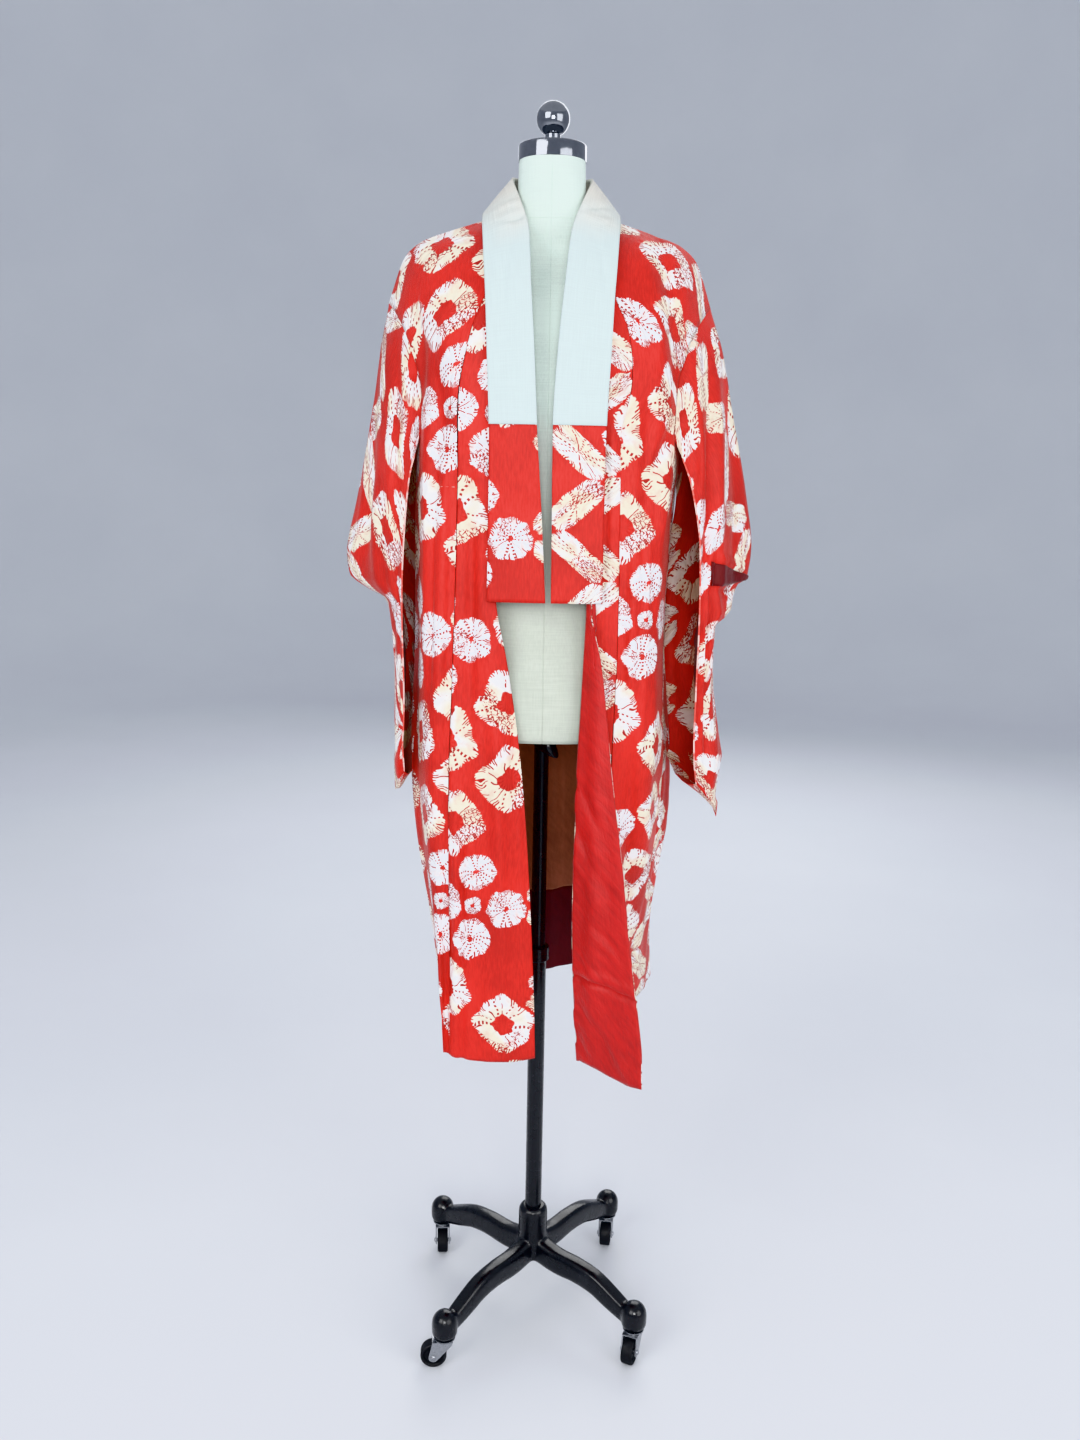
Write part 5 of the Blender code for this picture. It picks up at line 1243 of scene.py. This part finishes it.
# ---- solid pieces ----
def made_solid(name, shells, finish, sharp=None):
    """One mesh from closed shells, each a stack of rings with a flat face at both ends, facing out. Edges
    above the angle sharp, in degrees, stay sharp."""
    points, faces, count = [], [], 0
    for rings in shells:
        rows, sides, _ = rings.shape
        last = count + (rows - 1) * sides
        faces += ring_faces(rows, sides, count)
        faces += [list(range(count, count + sides))[::-1], list(range(last, last + sides))]
        points.append(rings.reshape(-1, 3))
        count += rows * sides
    obj = new_object(name, np.concatenate(points), faces, (finish,))
    shape = bmesh.new()
    shape.from_mesh(obj.data)
    bmesh.ops.remove_doubles(shape, verts=shape.verts, dist=1e-6)
    bmesh.ops.recalc_face_normals(shape, faces=shape.faces)
    shape.to_mesh(obj.data)
    shape.free()
    if sharp:
        obj.data.set_sharp_from_angle(angle=radians(sharp))
    return obj


# ---- small sewn work ----
TUBE_SIDES, STITCH_SIDES, STITCH_STEPS = 8, 6, 5
TUBE_SIDE = (0.31, 0.95, 0.05)                  # a direction that no path runs along
TUBE_END, TUBE_END_STEP = 0.35, 0.5             # the radius' share at the ends, and its growth ring by ring
EDGE_ROLL = 0.0011
STITCH, STITCH_GAP, STITCH_RADIUS = 0.0042, 0.0038, 0.00035
TUCK_X, TUCK_Z, TUCK_STEPS = (-0.146, -0.074), 1.262, 60
FORM_SEAM = 0.0006
NECK_SEAM_Z, NECK_SEAM_DIP = 1.614, 0.012


def tube(path, radius, sides=TUBE_SIDES):
    """Rings of points square to a path, of even radius, drawn together at both ends."""
    along = np.gradient(path, axis=0)
    along /= np.linalg.norm(along, axis=1, keepdims=True)
    side = np.cross(along, TUBE_SIDE)
    side /= np.linalg.norm(side, axis=1, keepdims=True)
    third = np.cross(along, side)
    angles = np.linspace(0, 2 * pi, sides, endpoint=False)[None, :, None]
    from_end = np.minimum(np.arange(len(path)), np.arange(len(path))[::-1])
    thick = radius * np.minimum(1, from_end * TUBE_END_STEP + TUBE_END)
    round_path = np.cos(angles) * side[:, None] + np.sin(angles) * third[:, None]
    return path[:, None] + thick[:, None, None] * round_path


def sewn_object(name, tubes, finish):
    """Several closed tubes as one piece on the cloth or the form."""
    carried(made_solid(name, [rings + (0, 0, POLE_SETTING) for rings in tubes], finish), "upper")


def make_tuck(front):
    """The line of running stitches that holds the tuck across the right front, just proud of the silk: short
    tubes along it, a stitch and a gap by turns, that dip at both ends."""
    xs = np.linspace(*TUCK_X, TUCK_STEPS)
    row = int(np.argmin(np.abs(front[:, front.shape[1] // 2, 2] - TUCK_Z)))
    line = front[row][np.argsort(front[row, :, 0])]
    path = read_at(xs, line[:, 0], line) - (0, STITCH_RADIUS, 0)
    path[:, 0] = xs                                     # it runs on over the right overlap
    reach = np.concatenate([[0], np.cumsum(np.linalg.norm(np.diff(path, axis=0), axis=1))])
    starts = np.arange(0, reach[-1] - STITCH, STITCH + STITCH_GAP)
    stitches = [tube(read_at(np.linspace(start, start + STITCH, STITCH_STEPS), reach, path), STITCH_RADIUS,
                     STITCH_SIDES) for start in starts]
    sewn_object("tuck_stitches", stitches, SELVEDGE)


def make_form_seams(rings):
    """The cover's seams as fine cords: round the neck's base, dipping in front, and down front and back."""
    quarter = FORM_AROUND // 4
    angles = np.linspace(0, 2 * pi, FORM_AROUND + 1)
    heights = NECK_SEAM_Z - NECK_SEAM_DIP * (1 - np.sin(angles)) / 2
    around = [read_at(z, rings[:, column % FORM_AROUND, 2], rings[:, column % FORM_AROUND])
              for column, z in enumerate(heights)]
    cords = [tube(line, FORM_SEAM) for line in (rings[:, 3 * quarter], rings[:, quarter], np.array(around))]
    sewn_object("form_seams", cords, FORM_COVER)


# ---- the form ----
FORM_AROUND, FORM_UP, FORM_SHARP = 120, 90, 50


def make_form():
    """Superellipse rings on a smooth curve through the torso's rows, closed by fans at both ends."""
    rows = table(TORSO_COLUMNS, TORSO)
    knots = np.arange(len(TORSO), dtype=float)
    at = np.linspace(0, knots[-1], FORM_UP + 1)
    z, half_width, front, back = (spline(knots, rows[name], at)[:, None] for name in TORSO_COLUMNS)
    across, deep = superellipse(np.linspace(0, 2 * pi, FORM_AROUND, endpoint=False)[None], TORSO_POWER)
    rings = xyz(half_width * across, np.where(deep < 0, front, back) * deep, z)
    make_form_seams(rings)
    rings[..., 2] += POLE_SETTING
    points = np.concatenate([rings.reshape(-1, 3), rings[[0, -1]].mean(axis=1)])
    top, low = FORM_UP * FORM_AROUND, (FORM_UP + 1) * FORM_AROUND
    pairs = [(a, (a + 1) % FORM_AROUND) for a in range(FORM_AROUND)]
    fans = [[low, b, a] for a, b in pairs] + [[low + 1, top + a, top + b] for a, b in pairs]
    form = new_object("form_body", points, ring_faces(FORM_UP + 1, FORM_AROUND) + fans, (FORM_COVER,))
    form.data.set_sharp_from_angle(angle=radians(FORM_SHARP))
    carried(form, "upper", ["torso"])


# ---- the stand ----
CASTOR_RADIUS = 0.196       # swivel axes from the pole
CASTOR_ANGLES = {"front_right": 230.3, "front_left": 320.3, "back_left": 50.3, "back_right": 140.3}
TRAIL_ANGLES = {"front_right": 183.0, "front_left": 248.0, "back_left": 262.0, "back_right": 275.0}
WHEEL_RADIUS, TRAIL = 0.0190, 0.0160
CHEEK_FACE = 0.0116         # the fork's cheeks' outer faces from the wheel's middle
LEG_COLUMNS = ("reach", "z", "half_width", "half_height")
LEG = (
    (0, 94.5, 14, 19.8), (50, 87, 13.4, 18.4), (90, 88.5, 12.8, 17.6), (125, 84.5, 12.4, 17),
    (155, 73, 12, 15.8), (183, 62, 10.8, 13.4),
)
LEG_STEPS, LEG_AROUND, LEG_POWER = 40, 28, 4.0
CAST_VOXEL, CAST_SMOOTHING, CAST_ROUNDS = 0.0021, 0.5, 6
TURNED_SIDES, RIVET_SIDES, CAP_SIDES = 48, 20, 96
CASTOR_SHARP, CAP_SHARP = 40, 60                # degrees
# Turned profiles: radius and height, in millimetres. The wheel's and the rivet's are turned about the axle.
HUB_PROFILE = (
    (0, 73.5), (16, 73.5), (20.8, 76.5), (22.2, 81), (22.2, 153), (21.2, 158), (17, 162.5), (0, 162.8),
)
DOME_PROFILE = (
    (0, 47.3), (13, 47.3), (17.2, 50), (18.6, 54.5), (18.7, 68.5), (17.6, 75), (14.6, 80.8), (10, 84.9),
    (5, 86.9), (0, 87.4),
)
RACE_PROFILE = (
    (0, 43.6), (14.2, 43.6), (15.4, 44), (15.4, 44.7), (14.5, 45.1), (14.5, 45.4), (15.8, 45.8),
    (15.8, 46.4), (14.8, 46.7), (0, 46.7),
)
WHEEL_PROFILE = (
    (0, 5.5), (3.6, 5.5), (4, 6), (7, 6), (7.6, 5.2), (13, 5.2), (13.8, 6.8), (16.2, 8.4), (17.6, 8.2),
    (18.7, 7), (19, 5), (19, 0),
)
RIVET_PROFILE = (
    (0, 0), (4, 0), (3.8, 1), (2.6, 2), (0, 2.4),
)
CAP_PROFILE = (
    (0, 1668.3), (44, 1668.3), (44, 1686.8), (43.7, 1687.6), (43, 1688.3), (42.2, 1688.5), (0, 1688.5),
)
KNOB_FOOT = (
    (0, 1688.8), (13.1, 1688.8), (13.5, 1689.2), (13.5, 1691.2), (13.1, 1692), (10.8, 1693.8), (10.1, 1695),
    (10, 1696.5),
)
KNOB_STEM_RADIUS, KNOB_RADIUS, KNOB_CENTRE = 10, 21.5, 1720.5         # the ball, in millimetres
KNOB_STEPS = 40


def turned(profile, sides=TURNED_SIDES):
    """A profile in millimetres turned about the upright axis."""
    return turned_rings(np.array(profile) / MM, sides)


def castor_centre(corner):
    """Where a castor's swivel axis meets the floor."""
    angle = radians(CASTOR_ANGLES[corner])
    return CASTOR_RADIUS * np.array((cos(angle), sin(angle), 0))


def leg_rings(angle):
    """Upright superellipses square to the leg's curve, which runs out from the hub's middle."""
    rows = table(LEG_COLUMNS, LEG)
    reach = np.linspace(0, rows["reach"][-1], LEG_STEPS + 1)
    z, half_width, half_height = (spline(rows["reach"], rows[name], reach)[:, None]
                                  for name in LEG_COLUMNS[1:])
    tilt = np.arctan(np.gradient(z[:, 0], reach))[:, None]
    across, up = superellipse(np.linspace(0, 2 * pi, LEG_AROUND, endpoint=False)[None], LEG_POWER)
    across, up = half_width * across, half_height * up
    out = reach[:, None] - up * np.sin(tilt)
    return xyz(out * cos(angle) - across * sin(angle), out * sin(angle) + across * cos(angle),
               z + up * np.cos(tilt))


def make_base():
    """The cast base: hub, legs and domes run together by a fine remesh and smoothed into fillets."""
    shells = [turned(HUB_PROFILE)]
    for corner, degrees in CASTOR_ANGLES.items():
        shells += [leg_rings(radians(degrees)), turned(DOME_PROFILE) + castor_centre(corner)]
    base = made_solid("base_cast", shells, ENAMEL)
    remesh = base.modifiers.new("Cast", "REMESH")
    remesh.mode, remesh.voxel_size, remesh.use_smooth_shade = "VOXEL", CAST_VOXEL, True
    smooth = base.modifiers.new("Fillets", "SMOOTH")
    smooth.factor, smooth.iterations = CAST_SMOOTHING, CAST_ROUNDS
    cast = bpy.data.meshes.new_from_object(base.evaluated_get(bpy.context.evaluated_depsgraph_get()))
    base.modifiers.clear()
    base.data = cast
    cast.materials.clear()
    cast.materials.append(ENAMEL)
    carried(base, "base", ["base_casting"])


def make_castor(corner):
    """A moulded wheel with a round tread, a shoulder, a sunk face and a boss on both sides; and the castor's
    trim: the swivel's two pressed rings under the dome, and the axle's rivet heads on both cheeks."""
    heading, centre, axle = radians(TRAIL_ANGLES[corner]), castor_centre(corner), (TRAIL, 0, WHEEL_RADIUS)

    def trailing(rings):
        """Rings turned about the axle, drawn with the wheel trailing towards +X."""
        x, y, z = np.moveaxis(rings + axle, -1, 0)
        return xyz(x * cos(heading) - y * sin(heading), x * sin(heading) + y * cos(heading), z) + centre

    half = np.array(WHEEL_PROFILE)
    tread = turned(np.concatenate([half * (1, -1), half[-2::-1]]))[..., (0, 2, 1)]
    wheel = made_solid(f"castor_wheel_{corner}", [trailing(tread)], TYRE, CASTOR_SHARP)
    carried(wheel, f"roller_{corner}", [f"wheel_{corner}"])
    rivet = turned(RIVET_PROFILE, RIVET_SIDES)[..., (0, 2, 1)] + (0, CHEEK_FACE, 0)
    shells = [turned(RACE_PROFILE) + centre] + [trailing(rivet * (1, sign, 1)) for sign in (-1, 1)]
    carried(made_solid(f"castor_trim_{corner}", shells, ZINC, CASTOR_SHARP), f"castor_{corner}")


# The clamp's lever: x, y, z, half depth and half height.
HANDLE = (
    (-11, -13.5, 901, 3.4, 6), (-2, -16, 900, 5.6, 8.8), (8.5, -18, 896, 6.6, 9.8),
    (18, -18, 888.5, 5.6, 8.6), (23.5, -17.5, 881.5, 3, 5),
)
HANDLE_STEPS, HANDLE_LEAN = 24, 0.4             # each ring's top leans this share of its height forward
HANDLE_ENDS, HANDLE_FULLNESS = (0.03, 0.97), 0.35


def make_handle():
    """The clamp's lever below the form: ellipses along a curve that leaves the tube and turns down."""
    rows = loft(np.array(HANDLE) / MM, HANDLE_STEPS)
    turn = np.linspace(0, 2 * pi, HANDLE_STEPS, endpoint=False)[None]
    end = np.sin(pi * np.linspace(*HANDLE_ENDS, len(rows)))[:, None] ** HANDLE_FULLNESS
    x, y, z, deep, high = (rows[:, column:column + 1] for column in range(5))
    up = high * end * np.sin(turn)
    rings = xyz(x + HANDLE_LEAN * up, y + deep * end * np.cos(turn), z + up)
    carried(made_solid("clamp_handle", [rings], ENAMEL), "upper")


def make_cap():
    """The neck cap and its ball, turned more finely than their solids."""
    angles = np.linspace(np.arcsin(KNOB_STEM_RADIUS / KNOB_RADIUS) - pi / 2, pi / 2, KNOB_STEPS)
    ball = tuple((KNOB_RADIUS * cos(angle), KNOB_CENTRE + KNOB_RADIUS * sin(angle)) for angle in angles)
    for name, node, profile in (("chrome_cap", "neck_cap", CAP_PROFILE),
                                ("chrome_ball", "knob", KNOB_FOOT + ball)):
        carried(made_solid(name, [turned(profile, CAP_SIDES)], CHROME, CAP_SHARP), "upper", [node])


def finish_hard_parts():
    """The rigid solids that stay keep their shapes and get their finishes."""
    finishes = {name: ENAMEL for name in ("lower_tube", "height_collar", "upper_tube")}
    finishes.update({f"fork_{corner}": ZINC for corner in CASTOR_ANGLES})
    for name, finish in finishes.items():
        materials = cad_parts[name].data.materials
        materials.clear()
        materials.append(finish)


# ---- floor, light and camera ----
FLOOR_RINGS = ((0.0, 0.0), (1.0, 0.0), (2.5, 0.0))
FLOOR_RADIUS, COVE_RADIUS, WALL_HEIGHT = 5.0, 2.5, 7.0
COVE_STEPS, FLOOR_SIDES = 17, 96
MIDDLE = (0, 0, 1.0)        # what the lamps are turned to
LAMPS = {                   # place, size and power
    "key": ((-2.1, -2.7, 2.5), 2.2, 53),
    "front": ((0.05, -2.7, 1.62), 0.9, 30),
    "fill": ((2.4, -2.2, 1.7), 2.4, 40),
    "back": ((0.6, 3.0, 2.6), 2.4, 44),
}
SKY, SKY_STRENGTH = (0.80, 0.84, 0.92, 1), 0.8
CAMERA_PLACE, CAMERA_TILT, CAMERA_ROLL = (-0.003, -1.677, 1.287), 78, 1.04
SENSOR, LENS = 36, 30.15


def make_stage():
    """A pale floor that turns up into a wall all round: a profile carried round the vertical axis."""
    curve = np.linspace(0, pi / 2, COVE_STEPS)
    cove = np.stack([FLOOR_RADIUS + COVE_RADIUS * np.sin(curve), COVE_RADIUS * (1 - np.cos(curve))], axis=1)
    profile = np.concatenate([FLOOR_RINGS, cove, [(FLOOR_RADIUS + COVE_RADIUS, WALL_HEIGHT)]])
    rings = turned_rings(profile[::-1], FLOOR_SIDES)
    f = Finish("pale_floor", Roughness=0.8, Specular_IOR_Level=0.15)
    f.show(Base_Color=f.mix(f.noise(f.here(), 1.5, 3), linear((218, 220, 225)), linear((226, 228, 232))))
    floor = new_object("floor", rings.reshape(-1, 3), ring_faces(*rings.shape[:2]), (f.material,))


def make_lights():
    """Big soft lamps round the object, and a sky."""
    for name, (place, size, power) in LAMPS.items():
        lamp = bpy.data.lights.new(name, "AREA")
        lamp.shape, lamp.size, lamp.energy = "SQUARE", size, power
        obj = linked(name, lamp)
        obj.location = place
        obj.rotation_mode = "QUATERNION"
        obj.rotation_quaternion = (Vector(place) - Vector(MIDDLE)).to_track_quat("Z", "Y")
    world = bpy.data.worlds.new("sky")
    world.use_nodes = True
    background = world.node_tree.nodes["Background"]
    background.inputs["Color"].default_value = SKY
    background.inputs["Strength"].default_value = SKY_STRENGTH
    bpy.context.scene.world = world


def make_camera():
    lens = bpy.data.cameras.new("camera")
    lens.sensor_width, lens.lens, lens.clip_end = SENSOR, LENS, 100
    camera = linked("camera", lens)
    camera.location = CAMERA_PLACE
    camera.rotation_euler = (radians(CAMERA_TILT), 0, 0)
    camera.rotation_euler.rotate_axis("Z", radians(CAMERA_ROLL))
    bpy.context.scene.camera = camera


bpy.context.scene.view_settings.view_transform = "Khronos PBR Neutral"
make_robe()
make_form()
make_base()
for corner in CASTOR_ANGLES:
    make_castor(corner)
make_handle()
make_cap()
finish_hard_parts()
make_stage()
make_lights()
make_camera()
